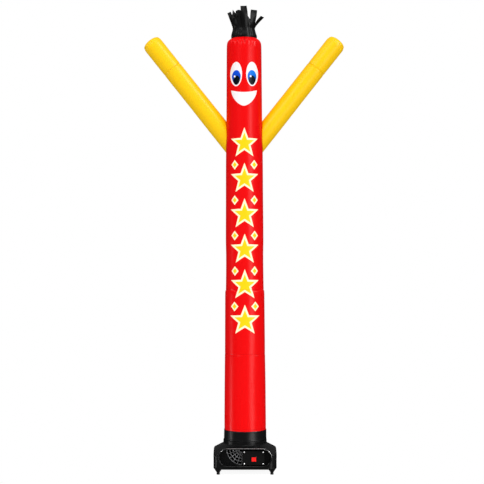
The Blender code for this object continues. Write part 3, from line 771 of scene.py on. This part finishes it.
# a band inside the crown's rim, cut into strips above it
hair = {
    "band": ((3.150, 0.0916, 0.0), (3.172, 0.0932, 0.0), (3.186, 0.0946, 0.0014),
             (3.202, 0.0912, 0.0026), (3.222, 0.0850, 0.0028), (3.244, 0.0806, 0.0018)),
    "bandRows": 22, "across": 8, "between": 3, "rows": 26,
    "shift": -0.0026, "root": 0.034, "flare": 1.6, "swell": 0.008, "arch": 0.012, "folds": 7,
    "thickness": 0.0014, "arc": 0.085,
    # turn, top, out, side, tip width, twist, curl, slant of the cut tip, hollow across, flutter
    "strips": (
        (-169, 3.366, 0.004, 0.006, 0.050, -16, 0.0, 0.006, 0.005, 0.003),
        (-141, 3.368, 0.012, 0.000, 0.052, 24, 1.2, -0.004, 0.006, 0.003),
        (-114, 3.380, 0.000, -0.002, 0.026, -30, 0.0, 0.024, 0.004, 0.002),
        (-86, 3.366, 0.030, 0.000, 0.032, 50, 0.0, 0.008, 0.003, 0.001),
        (-58, 3.340, 0.008, 0.000, 0.034, 22, 0.0, -0.012, 0.006, 0.003),
        (-29, 3.373, 0.008, 0.000, 0.036, 10, 2.0, 0.007, 0.006, 0.002),
        (4, 3.399, 0.014, -0.011, 0.046, 2, 0.0, 0.003, 0.005, 0.002),
        (30, 3.319, -0.006, 0.001, 0.034, -12, 0.0, -0.042, 0.007, 0.002),
        (55, 3.377, 0.012, 0.000, 0.046, -50, 0.0, -0.005, 0.005, 0.001),
        (82, 3.333, 0.061, 0.000, 0.026, -60, 0.0, -0.011, 0.003, 0.001),
        (108, 3.300, 0.000, 0.006, 0.032, 18, 0.0, 0.010, 0.005, 0.003),
        (135, 3.326, -0.004, 0.004, 0.038, -20, 0.0, -0.008, 0.005, 0.003),
        (163, 3.337, 0.016, -0.006, 0.042, 12, 0.0, 0.005, 0.006, 0.002),
    ),
}


def foldWave(turn):
    # the band's soft folds, broad and fine; turn is counted from the right-hand side
    count = hair["folds"]
    broad = 0.55 * cos(count * turn + 0.8) + 0.30 * cos((count + 3) * turn + 2.1)
    return broad + 0.34 * cos((2 * count + 5) * turn + 1.1) + 0.22 * cos((3 * count + 4) * turn + 0.3)


def bandPoint(turn, height):
    reach = profileAt(hair["band"], height) + profileAt(hair["band"], height, 2) * foldWave(turn)
    reach += hair["shift"] * cos(turn) * clipped((height - 3.180) / 0.03)
    return leaning @ Vector((reach * cos(turn), reach * sin(turn), height))


def hairMesh():
    half = hair["root"] / 2 / hair["band"][-1][1]
    middles = [radians(strip[0] - 90) for strip in hair["strips"]]
    turns = []
    for middle, following in zip(middles, middles[1:] + [middles[0] + 2 * pi]):
        turns += [middle - half + 2 * half * i / hair["across"] for i in range(hair["across"] + 1)]
        gap = following - half - (middle + half)
        turns += [middle + half + gap * i / hair["between"] for i in range(1, hair["between"])]
    columns, bottom = len(turns), hair["band"][0][0]
    top = hair["band"][-1][0]
    heights = [bottom + (top - bottom) * i / hair["bandRows"] for i in range(hair["bandRows"] + 1)]
    points = [bandPoint(turn, height) for height in heights for turn in turns]
    flat = [(turn * hair["arc"], height) for height in heights for turn in turns]
    faces = [(low + i, low + (i + 1) % columns, low + columns + (i + 1) % columns, low + columns + i)
             for low in range(0, (len(heights) - 1) * columns, columns) for i in range(columns)]
    pace = hair["across"] + hair["between"]
    for number, strip in enumerate(hair["strips"]):
        turn, tall, out, sideways, tipWidth, twist, curl, slant, hollow, flutter = strip
        first = (len(heights) - 1) * columns + number * pace
        below = list(range(first, first + hair["across"] + 1))
        roots = [points[i].copy() for i in below]
        left, right = roots[0], roots[-1]
        root, across = (left + right) / 2, (right - left).normalized()
        outwards = Vector((across.y, -across.x, 0)).normalized()
        bulges = [spot - (left + (right - left) * i / hair["across"]) for i, spot in enumerate(roots)]
        peak = (2 / 3) * (1 + curl) * sqrt((1 + curl) / (3 * curl)) if curl > 0.5 else 1.0
        climb = (leaning @ Vector((0, 0, tall))).z - root.z
        for row in range(1, hair["rows"] + 1):
            t = row / hair["rows"]
            middle = root + outwards * out * t ** hair["flare"] + across * sideways * t * t
            middle.z += climb * ((1 + curl) * t - curl * t ** 3) / peak
            wide = Matrix.Rotation(radians(twist) * t, 3, "Z") @ across
            facing = Vector((wide.y, -wide.x, 0))
            width = hair["root"] + (tipWidth - hair["root"]) * sqrt(t) + hair["swell"] * sin(pi * t)
            ripple = flutter * sin(t * (5.1 + number % 3) + number * 1.9) * t
            above = []
            for i in range(hair["across"] + 1):
                c = 2 * i / hair["across"] - 1
                spot = middle + wide * (width / 2) * c + bulges[i] * (1 - t) ** 3
                bow = hollow * sin(pi * min(1, 1.3 * t)) * (1 - c * c) + ripple
                bow += 0.5 * flutter * sin(2.6 * c + 4.3 * t + number) * t
                spot += facing * bow
                spot.z += slant * c * 0.5 * t ** 3 - (hair["arch"] * c * c * t if curl else 0)
                points.append(spot)
                flat.append((turns[number * pace + i] * hair["arc"], spot.z))
                above.append(len(points) - 1)
            faces += [(below[i], below[i + 1], above[i + 1], above[i]) for i in range(hair["across"])]
            below = above
    marks = []
    for face in faces:
        spots = [flat[i] for i in face]
        if max(s[0] for s in spots) - min(s[0] for s in spots) > 0.3:
            spots = [(s[0] + 2 * pi * hair["arc"] if s[0] < -0.2 else s[0], s[1]) for s in spots]
        marks.append(spots)
    return meshObject("hairCloth", points, faces, marks)


hairCloth = hairMesh()
thicken(hairCloth, hair["thickness"])
finish(hairCloth, hairNylon, ["hair"])
print("hair made")


def start(kind, place=None, **sizes):
    bpy.ops.object.select_all(action="DESELECT")
    getattr(bpy.ops.mesh, "primitive_%s_add" % kind)(**sizes)
    item = bpy.context.object
    if place is not None:
        item.matrix_world = place @ item.matrix_world
    bpy.ops.object.transform_apply(location=True, rotation=True, scale=True)
    return item


def block(low, high):
    middle = [(a + b) / 2 for a, b in zip(low, high)]
    return start("cube", size=1, location=middle, scale=[b - a for a, b in zip(low, high)])


def leave():
    bpy.ops.object.mode_set(mode="OBJECT")


def settled(item, place):
    # moved to its place, which is then kept in the mesh
    only(item)
    item.matrix_world = place
    bpy.ops.object.transform_apply(location=True, rotation=True, scale=True)
    return item


def joined(items):
    only(items[0])
    for item in items[1:]:
        item.select_set(True)
    bpy.ops.object.join()
    return items[0]


def quarterOf(item, corner):
    # only what lies left of the corner and below it stays
    only(item)
    bpy.ops.object.mode_set(mode="EDIT")
    for normal in ((1, 0, 0), (0, 0, 1)):
        bpy.ops.mesh.select_all(action="SELECT")
        bpy.ops.mesh.bisect(plane_co=corner, plane_no=normal, use_fill=True, clear_outer=True)
    leave()
    return item


def pick(item, mode, test, together=False):
    # into edit mode with what passes selected; the test reads each corner, or all corners together
    only(item)
    bpy.ops.object.mode_set(mode="EDIT")
    bpy.ops.mesh.select_mode(type=mode)
    bpy.ops.mesh.select_all(action="DESELECT")
    bpy.ops.object.mode_set(mode="OBJECT")
    mesh = item.data
    for part in {"FACE": mesh.polygons, "EDGE": mesh.edges, "VERT": mesh.vertices}[mode]:
        corners = [part.co] if mode == "VERT" else [mesh.vertices[i].co for i in part.vertices]
        part.select = test(corners) if together else all(test(spot) for spot in corners)
    bpy.ops.object.mode_set(mode="EDIT")


def bevel(item, test, width, segments=3):
    pick(item, "EDGE", test)
    bpy.ops.mesh.bevel(offset=width, segments=segments, affect="EDGES")
    leave()
    return item


def roundEdges(item, width, segments=2, degrees=40):
    return applied(item, "BEVEL", width=width, segments=segments, limit_method="ANGLE",
                   angle_limit=radians(degrees))


def combine(item, other, operation, solver="EXACT"):
    applied(item, "BOOLEAN", object=other, operation=operation, solver=solver)
    bpy.data.objects.remove(other)
    bpy.ops.object.mode_set(mode="EDIT")
    bpy.ops.mesh.select_all(action="SELECT")
    bpy.ops.mesh.remove_doubles(threshold=2e-5)
    bpy.ops.mesh.dissolve_degenerate(threshold=1e-6)
    leave()
    return item


def turned(rows, vertices=48, place=None, closed=False):
    # a turned piece about Z: a circle drawn up through rows of (radius, height)
    item = start("circle", vertices=vertices, radius=rows[0][0], fill_type="NOTHING",
                 location=(0, 0, rows[0][1]))
    bpy.ops.object.mode_set(mode="EDIT")
    bpy.ops.mesh.select_mode(type="VERT")
    bpy.ops.mesh.select_all(action="SELECT")
    for (radius, height), (nextRadius, nextHeight) in zip(rows, rows[1:]):
        bpy.ops.mesh.extrude_region_move(
            TRANSFORM_OT_translate={"value": (0, 0, nextHeight - height)})
        k = nextRadius / radius
        bpy.ops.transform.resize(value=(k, k, 1), center_override=(0, 0, nextHeight))
    bpy.ops.mesh.select_all(action="SELECT")
    if closed:
        bpy.ops.mesh.remove_doubles(threshold=1e-6)
    else:
        bpy.ops.mesh.fill_holes(sides=0)
    bpy.ops.mesh.normals_make_consistent(inside=False)
    leave()
    return item if place is None else settled(item, place)


def named(item, name):
    item.name = item.data.name = name
    return item


facingFront = Matrix.Rotation(radians(90), 4, "X")     # Z of a turned piece towards the front
facingBack = Matrix.Rotation(radians(-90), 4, "X")

# plastics, rubber and metals
finishes = {
    "shell": {"colour": (0.0050, 0.0050, 0.0052, 1.0), "roughness": 0.27, "grain": 520.0,
              "specular": 0.07, "rim": -0.2006},
    "plate": {"colour": (0.0024, 0.0024, 0.0025, 1.0), "roughness": 0.48, "grain": 900.0,
              "specular": 0.08},
    "bezel": {"colour": (0.0050, 0.0050, 0.0052, 1.0), "roughness": 0.34, "grain": 700.0},
    "gland": {"colour": (0.0080, 0.0080, 0.0082, 1.0), "roughness": 0.45, "grain": 700.0},
    "rubber": {"colour": (0.0075, 0.0075, 0.0075, 1.0), "roughness": 0.72, "grain": 420.0},
    "wire": {"colour": (0.17, 0.17, 0.175, 1.0), "roughness": 0.30, "grain": 600.0},
    "rocker": {"colour": (0.84, 0.012, 0.010, 1.0), "roughness": 0.22, "grain": 500.0,
               "specular": 0.10},
    "screw": {"colour": (0.86, 0.86, 0.86, 1.0), "roughness": 0.30, "grain": 1500.0},
}


def hardMaterial(name, key, metallic=0.0, grain=0.00010, dust=0.35):
    facts = finishes[key]
    graph = newGraph(name)
    where = graph.object()
    fine = graph.noise(where, facts["grain"], 2.0, 0.6)
    patch = graph.noise(where, 9.0, 4.0, 0.6)
    scuff = graph.noise(graph.node("Mapping", {}, {0: where, 3: (14, 60, 90)}), 2.0, 3.0, 0.7)
    worn = graph.clamp((patch - 0.5) * 1.2 + (scuff - 0.5) * 0.5 + 0.5)
    base = facts["colour"]
    dusty = tuple(min(1.0, c * (1 + dust) + 0.0015 * dust) for c in base[:3]) + (1.0,)
    varying = {"Base Color": graph.mix(worn, base, dusty),
               "Roughness": (worn - 0.5) * 0.14 + (fine - 0.5) * 0.08 + facts["roughness"],
               "Normal": graph.bump(fine, grain, 0.5)}
    steady = {"Metallic": metallic, "Specular IOR Level": facts.get("specular", 0.16)}
    if "rim" in facts:
        # the recess's rim is rubbed shiny, most of all along its top
        y, z = graph.parts(where)[1:]
        high = graph.clamp((z - 0.125) * 30) * 0.95 + 0.05
        varying["Coat Weight"] = graph.clamp((y - facts["rim"]) * -900) * high
        steady["Coat Roughness"] = 0.14
        steady["Coat IOR"] = 2.0
    return graph.surface(varying, steady)


shellPlastic = hardMaterial("black_moulded_shell", "shell", grain=0.00016)
platePlastic = hardMaterial("matt_plate", "plate", grain=0.00012)
bezelPlastic = hardMaterial("satin_bezel", "bezel", grain=0.00005)
glandPlastic = hardMaterial("black_gland", "gland")
footRubber = hardMaterial("foot_rubber_grain", "rubber", grain=0.00014)
guardWire = hardMaterial("coated_wire", "wire", metallic=0.2, grain=0.00004)
rockerPlastic = hardMaterial("red_rocker", "rocker", grain=0.00003, dust=0.03)
screwSteel = hardMaterial("plated_screw", "screw", metallic=0.4, grain=0.00003, dust=-0.1)

shell = {
    "middle": 0.0075, "halfWidth": 0.229, "halfDepth": 0.195, "corner": 0.060, "bottom": 0.040,
    "top": 0.240, "roofTop": 0.2088, "roofSlope": 0.53, "roofFoot": 0.1590, "edge": 0.009,
    "bottomEdge": 0.006, "inside": -0.150,
    # the lip round the recess: its width, height and level, and how thick it is
    "recess": (0.389, 0.137, 0.1273), "lip": 0.009, "front": -0.205, "recessBack": -0.155,
    "lipEdge": 0.0042,
    # the switch's box: left, foot, right, top
    "boxLow": (-0.0165, 0.0705), "boxHigh": (0.1405, 0.1755), "boxFront": -0.178, "boxEdge": 0.0025,
    # the intake's corner, radius and depth
    "intake": (-0.0205, 0.1845, 0.108, 0.095),
    # radius and height: a stepped flange with a rounded rim, then the collar inside the cloth
    "outlet": ((0.140, 0.190), (0.1625, 0.190), (0.1625, 0.2085), (0.1612, 0.2102), (0.1590, 0.2110),
               (0.1590, 0.2185), (0.1580, 0.2192), (0.1580, 0.2204), (0.1590, 0.2211),
               (0.1590, 0.2325), (0.1584, 0.2339), (0.1570, 0.2345), (0.1508, 0.2345),
               (0.1508, 0.2915), (0.1502, 0.2929), (0.1490, 0.2935), (0.1440, 0.2935),
               (0.140, 0.2935), (0.140, 0.190)),
    "duct": 0.1440, "ductFloor": 0.075, "ductHeight": 0.240,
    "foot": (0.1942, 0.155), "lug": ((0.0125, 0.0180), (0.0315, 0.0460), (0.0315, 0.0560)),
}
switch = {"x": 0.0637, "z": 0.1126, "hole": 0.0370, "depth": 0.0160}
mx = shell["middle"]            # of the blower, from side to side


def stadium(width, height, level, near, far):
    # a bar with half-round ends, drawn out from near to far along Y
    radius = height / 2
    item = start("circle", vertices=64, radius=radius, fill_type="NGON",
                 place=Matrix.Translation((mx, near, level)) @ facingFront
                 @ Matrix.Rotation(pi / 64, 4, "Z"))
    for sign in (-1, 1):
        pick(item, "VERT", lambda spot: (spot.x - mx) * sign > 0)
        bpy.ops.transform.translate(value=(sign * (width / 2 - radius), 0, 0))
        leave()
    pick(item, "FACE", lambda spot: True)
    bpy.ops.mesh.extrude_region_move(TRANSFORM_OT_translate={"value": (0, far - near, 0)})
    bpy.ops.mesh.select_all(action="SELECT")
    bpy.ops.mesh.normals_make_consistent(inside=False)
    leave()
    return item


def onEave(spot):
    return spot.z > 0.06 and hypot(spot.x - mx, spot.y) > 0.17


def aroundSwitch(size, near, far):
    # a square block about the switch's middle
    return block((mx + switch["x"] - size / 2, near, switch["z"] - size / 2),
                 (mx + switch["x"] + size / 2, far, switch["z"] + size / 2))


# a block with round corners, cut by a cone for its roof
body = block((mx - shell["halfWidth"], -shell["halfDepth"], shell["bottom"]),
             (mx + shell["halfWidth"], shell["halfDepth"], shell["top"]))
pick(body, "EDGE", lambda ends: abs(ends[0].z - ends[1].z) > 0.1, together=True)
bpy.ops.mesh.bevel(offset=shell["corner"], segments=16, affect="EDGES")
leave()
coneFoot = shell["roofFoot"] + shell["roofTop"] / shell["roofSlope"]
roof = start("cone", vertices=192, radius1=coneFoot, radius2=shell["roofFoot"],
             depth=shell["roofTop"], location=(mx, 0, shell["roofTop"] / 2))
combine(body, roof, "INTERSECT")
bevel(body, onEave, shell["edge"], 4)
bevel(body, lambda spot: spot.z < shell["bottom"] + 1e-4, shell["bottomEdge"], 3)
wide, tall, level = shell["recess"]
combine(body, stadium(wide, tall, level, shell["front"], shell["inside"]), "UNION")
inset = 2 * shell["lip"]
combine(body, stadium(wide - inset, tall - inset, level, shell["front"] - 0.01, shell["recessBack"]),
        "DIFFERENCE")
bevel(body, lambda spot: abs(spot.y - shell["front"]) < 1e-4, shell["lipEdge"], 6)
box = block((mx + shell["boxLow"][0], shell["boxFront"], shell["boxLow"][1]),
            (mx + shell["boxHigh"][0], shell["inside"], shell["boxHigh"][1]))
combine(body, roundEdges(box, shell["boxEdge"], 3), "UNION")
centreX, centreZ, radius, deep = shell["intake"]
quarter = start("cylinder", vertices=128, radius=radius, depth=deep + 0.010,
                place=Matrix.Translation((mx + centreX, shell["recessBack"] + deep / 2 - 0.005, centreZ))
                @ facingFront)
combine(body, quarterOf(quarter, (mx + centreX, 0, centreZ)), "DIFFERENCE")
combine(body, aroundSwitch(switch["hole"], shell["boxFront"] - 0.01,
                           shell["boxFront"] + switch["depth"]), "DIFFERENCE")
outlet = turned(shell["outlet"], 128, Matrix.Translation((mx, 0, 0)), closed=True)
combine(body, outlet, "UNION", "FAST")
footPlaces = [Matrix.Translation((mx + x * shell["foot"][0], y * shell["foot"][1], 0))
              for x in (-1, 1) for y in (-1, 1)]
for place in footPlaces:
    combine(body, turned(shell["lug"], 32, place), "UNION")
combine(body, start("cylinder", vertices=128, radius=shell["duct"], depth=shell["ductHeight"],
                    location=(mx, 0, shell["ductFloor"] + shell["ductHeight"] / 2)), "DIFFERENCE")
blowerShell = named(body, "blowerShell")
finish(blowerShell, shellPlastic, ["blower_housing"], smooth=32)
print("blower shell made")

# the intake grille: a quarter of a round one, of bars and spokes
grille = {"rings": (0.022, 0.044, 0.066, 0.088, 0.1105), "bar": 0.0034, "spokes": 6,
          "spokeHalf": 0.020, "clipTurn": 194, "clipReach": 0.1120,
          "clipHalf": (0.0050, 0.0017, 0.0042), "clipEdge": 0.0012}
low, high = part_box("intake_guard")
level = (low.y + high.y) / 2
hub = Vector((mx + centreX, level, centreZ))
thin = grille["bar"] / 2
rings = [start("torus", major_segments=144, minor_segments=10, major_radius=radius + thin,
               minor_radius=thin, place=Matrix.Translation(hub) @ facingFront)
         for radius in grille["rings"]]
bars = quarterOf(joined(rings), hub)
inner, outer = grille["rings"][0] + 0.0004, grille["rings"][-1] + grille["bar"] - 0.0006
first, last = pi + grille["spokeHalf"], 1.5 * pi - grille["spokeHalf"]
spokes = []
for number in range(grille["spokes"]):
    turn = first + (last - first) * number / (grille["spokes"] - 1)
    place = (Matrix.Translation(hub) @ Matrix.Rotation(-turn, 4, "Y")
             @ Matrix.Rotation(radians(90), 4, "Y") @ Matrix.Translation((0, 0, inner)))
    spokes.append(turned(((thin * 0.6, 0), (thin * 0.95, 0.0010), (thin * 0.95, outer - inner - 0.0010),
                          (thin * 0.6, outer - inner)), 12, place))
combine(bars, joined(spokes), "UNION")
# the clip that holds the grille at its left
turn = radians(grille["clipTurn"])
clip = roundEdges(block([-half for half in grille["clipHalf"]], grille["clipHalf"]),
                  grille["clipEdge"], 2)
spot = hub + Vector((cos(turn), 0, sin(turn))) * grille["clipReach"]
combine(bars, settled(clip, Matrix.Translation(spot) @ Matrix.Rotation(-turn, 4, "Y")), "UNION")
intakeGrille = named(bars, "intakeGrille")
finish(intakeGrille, guardWire, ["intake_guard"], smooth=50)
print("intake grille made")

plate = {
    "margin": 0.0015, "thick": 0.003, "gap": 0.0003, "screwInset": 0.009, "edge": 0.0005,
    # radius and height of a screw's head
    "screw": ((0.0050, 0.0), (0.0052, 0.0004), (0.0052, 0.0010), (0.0047, 0.0016), (0.0037, 0.0021),
              (0.0018, 0.0025)),
    "slot": (0.0052, 0.0009, 0.0024), "slotHeight": 0.0026,
}
margin = plate["margin"]
plateBack = shell["boxFront"] - plate["gap"]
plateFront = plateBack - plate["thick"]
plateLow = Vector((mx + shell["boxLow"][0] + margin, plateFront, shell["boxLow"][1] + margin))
plateHigh = Vector((mx + shell["boxHigh"][0] - margin, plateBack, shell["boxHigh"][1] - margin))
switchPlate = block(plateLow, plateHigh)
pick(switchPlate, "FACE", lambda spot: spot.y < plateFront + 1e-5)
bpy.ops.mesh.inset(thickness=0.0030)
bpy.ops.mesh.inset(thickness=0.0008)
bpy.ops.transform.translate(value=(0, 0.0004, 0))
leave()
combine(switchPlate, aroundSwitch(switch["hole"], plateFront - 0.01, plateBack + 0.01), "DIFFERENCE")
roundEdges(switchPlate, plate["edge"], 2, 60)
finish(named(switchPlate, "switchPlate"), platePlastic, ["switch_plate"], smooth=35)

inset = plate["screwInset"]
screwPlaces = [Matrix.Translation((x, plateFront - plate["gap"], z)) @ facingFront
               for x in (plateLow.x + inset, plateHigh.x - inset)
               for z in (plateLow.z + inset, plateHigh.z - inset)]
for number, place in enumerate(screwPlaces, 1):
    screw = turned(plate["screw"], 32, place)
    twist = Matrix.Rotation(radians(17 + 31 * number), 4, "Z")
    for turn in (0, 90):
        slot = start("cube", size=1, scale=plate["slot"],
                     place=place @ twist @ Matrix.Rotation(radians(turn), 4, "Z")
                     @ Matrix.Translation((0, 0, plate["slotHeight"])))
        combine(screw, slot, "DIFFERENCE")
    roundEdges(screw, 0.0002, 1, 50)
    finish(named(screw, "plateScrew%d" % number), screwSteel, ["screw_%d" % number],
           smooth=40)
print("switch plate and screws made")

bezel = {"outer": 0.0430, "corner": 0.0022, "lip": 0.0030, "edge": 0.0006,
         "sleeve": 0.0364, "sleeveDepth": 0.010, "inner": 0.0334}
bezelBack = plateFront - plate["gap"]
sleeveEnd = shell["boxFront"] + bezel["sleeveDepth"]
switchBezel = aroundSwitch(bezel["outer"], bezelBack - bezel["lip"], bezelBack)
pick(switchBezel, "EDGE", lambda ends: abs(ends[0].y - ends[1].y) > 0.001, together=True)
bpy.ops.mesh.bevel(offset=bezel["corner"], segments=4, affect="EDGES")
leave()
combine(switchBezel, aroundSwitch(bezel["sleeve"], bezelBack - 0.001, sleeveEnd), "UNION")
combine(switchBezel, aroundSwitch(bezel["inner"], bezelBack - 0.01, sleeveEnd + 0.01), "DIFFERENCE")
roundEdges(switchBezel, bezel["edge"], 3, 60)
finish(named(switchBezel, "switchBezel"), bezelPlastic, ["switch_bezel"], smooth=35)

rocker = {
    "width": 0.0326, "half": 0.0152, "axis": (0.0712, -0.176, 0.1126), "tilt": 8.0, "edge": 0.0007,
    # how far out from the axis, half height
    "side": ((-0.0060, 0.0040), (-0.0030, 0.0105), (0.0030, 0.0152), (0.0095, 0.0150)),
    # the face is hollow: how far out its middle lies, where it is cut, and the share of the
    # hollow's depth at each height
    "dip": 0.0078, "cut": 0.0075, "dips": ((0.0, 1.0), (0.0074, 0.72)),
}
half, cut = rocker["half"], rocker["cut"]
backOut, frontOut = -rocker["side"][0][0], -rocker["side"][-1][0]
switchRocker = block((-rocker["width"] / 2, frontOut, -half), (rocker["width"] / 2, backOut, half))
bpy.ops.object.mode_set(mode="EDIT")
for out, _ in rocker["side"][1:-1]:
    bpy.ops.mesh.select_all(action="SELECT")
    bpy.ops.mesh.bisect(plane_co=(0, -out, 0), plane_no=(0, 1, 0))
for z in (-cut, 0.0, cut):
    bpy.ops.mesh.select_all(action="SELECT")
    bpy.ops.mesh.bisect(plane_co=(0, 0, z), plane_no=(0, 0, 1))
leave()
for out, up in rocker["side"]:
    pick(switchRocker, "VERT", lambda spot: abs(spot.y + out) < 1e-5)
    bpy.ops.transform.resize(value=(1, 1, up / half), center_override=(0, -out, 0))
    leave()
for height, share in rocker["dips"]:
    pick(switchRocker, "VERT",
         lambda spot: spot.y < frontOut + 1e-4 and abs(abs(spot.z) - height) < 6e-4)
    bpy.ops.transform.translate(value=(0, (-frontOut - rocker["dip"]) * share, 0))
    leave()
roundEdges(switchRocker, rocker["edge"], 3, 40)
settled(switchRocker, Matrix.Translation(rocker["axis"])
        @ Matrix.Rotation(radians(-rocker["tilt"]), 4, "X"))
finish(named(switchRocker, "switchRocker"), rockerPlastic, ["switch_rocker"],
       body="rocker", smooth=40)
print("switch made")

# radius and height
rubberFoot = {
    "rows": ((0.0094, 0.0), (0.0112, 0.0004), (0.0122, 0.0018), (0.0122, 0.0060), (0.0114, 0.0068),
             (0.0113, 0.0082), (0.0117, 0.0090), (0.0112, 0.0168), (0.0106, 0.0177)),
}
for number, place in enumerate(footPlaces, 1):
    finish(named(turned(rubberFoot["rows"], 40, place), "rubberFoot%d" % number), footRubber,
           ["foot_%d" % number], smooth=35)

gland = {
    "x": 0.120, "z": 0.090, "gap": 0.0003, "bore": 0.0045, "boreDepth": 0.0105,
    "boreMiddle": 0.00825,
    # radius, and height off the housing
    "rows": ((0.0121, 0.0), (0.0125, 0.0004), (0.0125, 0.0044), (0.0119, 0.0050), (0.0096, 0.0052),
             (0.0093, 0.0068), (0.0096, 0.0072), (0.0090, 0.0090), (0.0084, 0.0095)),
}
place = Matrix.Translation((mx + gland["x"], shell["halfDepth"] + gland["gap"], gland["z"])) @ facingBack
cableGland = turned(gland["rows"], 48, place)
bore = start("cylinder", vertices=48, radius=gland["bore"], depth=gland["boreDepth"],
             place=place @ Matrix.Translation((0, 0, gland["boreMiddle"])))
combine(cableGland, bore, "DIFFERENCE")
finish(named(cableGland, "cableGland"), glandPlastic, ["cable_gland"], smooth=35)
print("feet and cable gland made")

# floor, lamps and world
studio = {
    "around": 0.54, "front": 0.62, "dark": 0.03, "top": 0.38,
    "floorRadius": 0.6, "floorLevel": -0.0004, "floorGlow": 0.92,
    # turn from the front, height, power, spread and whether it lights matt surfaces too
    "lamps": (("key", 40, 6, 0.20, 16, True), ("top", 15, 62, 1.45, 30, True),
              ("sheen", 39, 0, 1.75, 26, False), ("side", -86, -12, 0.65, 14, False),
              ("highRight", 61, 30, 4.20, 26, False), ("highLeft", -36, 26, 1.20, 18, False),
              ("edgeLeft", -81, 38, 0.70, 12, False), ("low", -15, -45, 0.35, 16, False)),
}
floor = start("circle", vertices=96, radius=studio["floorRadius"], fill_type="NGON",
              location=(0, 0, studio["floorLevel"]))
named(floor, "paleFloor")
graph = newGraph("pale_floor")
grain = graph.noise(graph.object(), 40.0, 2.0)
floor.data.materials.append(graph.surface(
    {"Base Color": graph.mix(grain, (0.30, 0.30, 0.30, 1), (0.34, 0.34, 0.34, 1))},
    {"Roughness": 0.9, "Emission Color": (1, 1, 1, 1), "Emission Strength": studio["floorGlow"],
     "Specular IOR Level": 0.0}))
floor.visible_glossy = False

for name, azimuth, elevation, power, spread, matt in studio["lamps"]:
    data = bpy.data.lights.new(name, "SUN")
    data.energy, data.angle = power, radians(spread)
    lamp = bpy.data.objects.new(name, data)
    lamp.visible_diffuse = matt
    a, e = radians(azimuth), radians(elevation)
    towards = Vector((sin(a) * cos(e), -cos(a) * cos(e), sin(e)))
    lamp.rotation_euler = towards.to_track_quat("Z", "Y").to_euler()
    bpy.context.scene.collection.objects.link(lamp)

world = bpy.data.worlds.new("studio")
world.cycles.sampling_method = "NONE"
bpy.context.scene.world = world
graph = Graph(world)
y, z = graph.parts(graph.node("TexCoord"))[1:]
soft = studio["around"] + graph.clamp(-y) * studio["front"]
shine = graph.clamp(z) * studio["top"] + studio["dark"]
seen = graph.node("LightPath")
glossy = Wire(graph, seen.socket.node.outputs[3])
strength = seen + (1 - seen) * (glossy * shine + (1 - glossy) * soft)
background = graph.tree.nodes["Background"]
graph.feed(background.inputs[1], strength)
background.inputs[0].default_value = (1, 1, 1, 1)

bpy.ops.object.select_all(action="DESELECT")
print("scene finished")
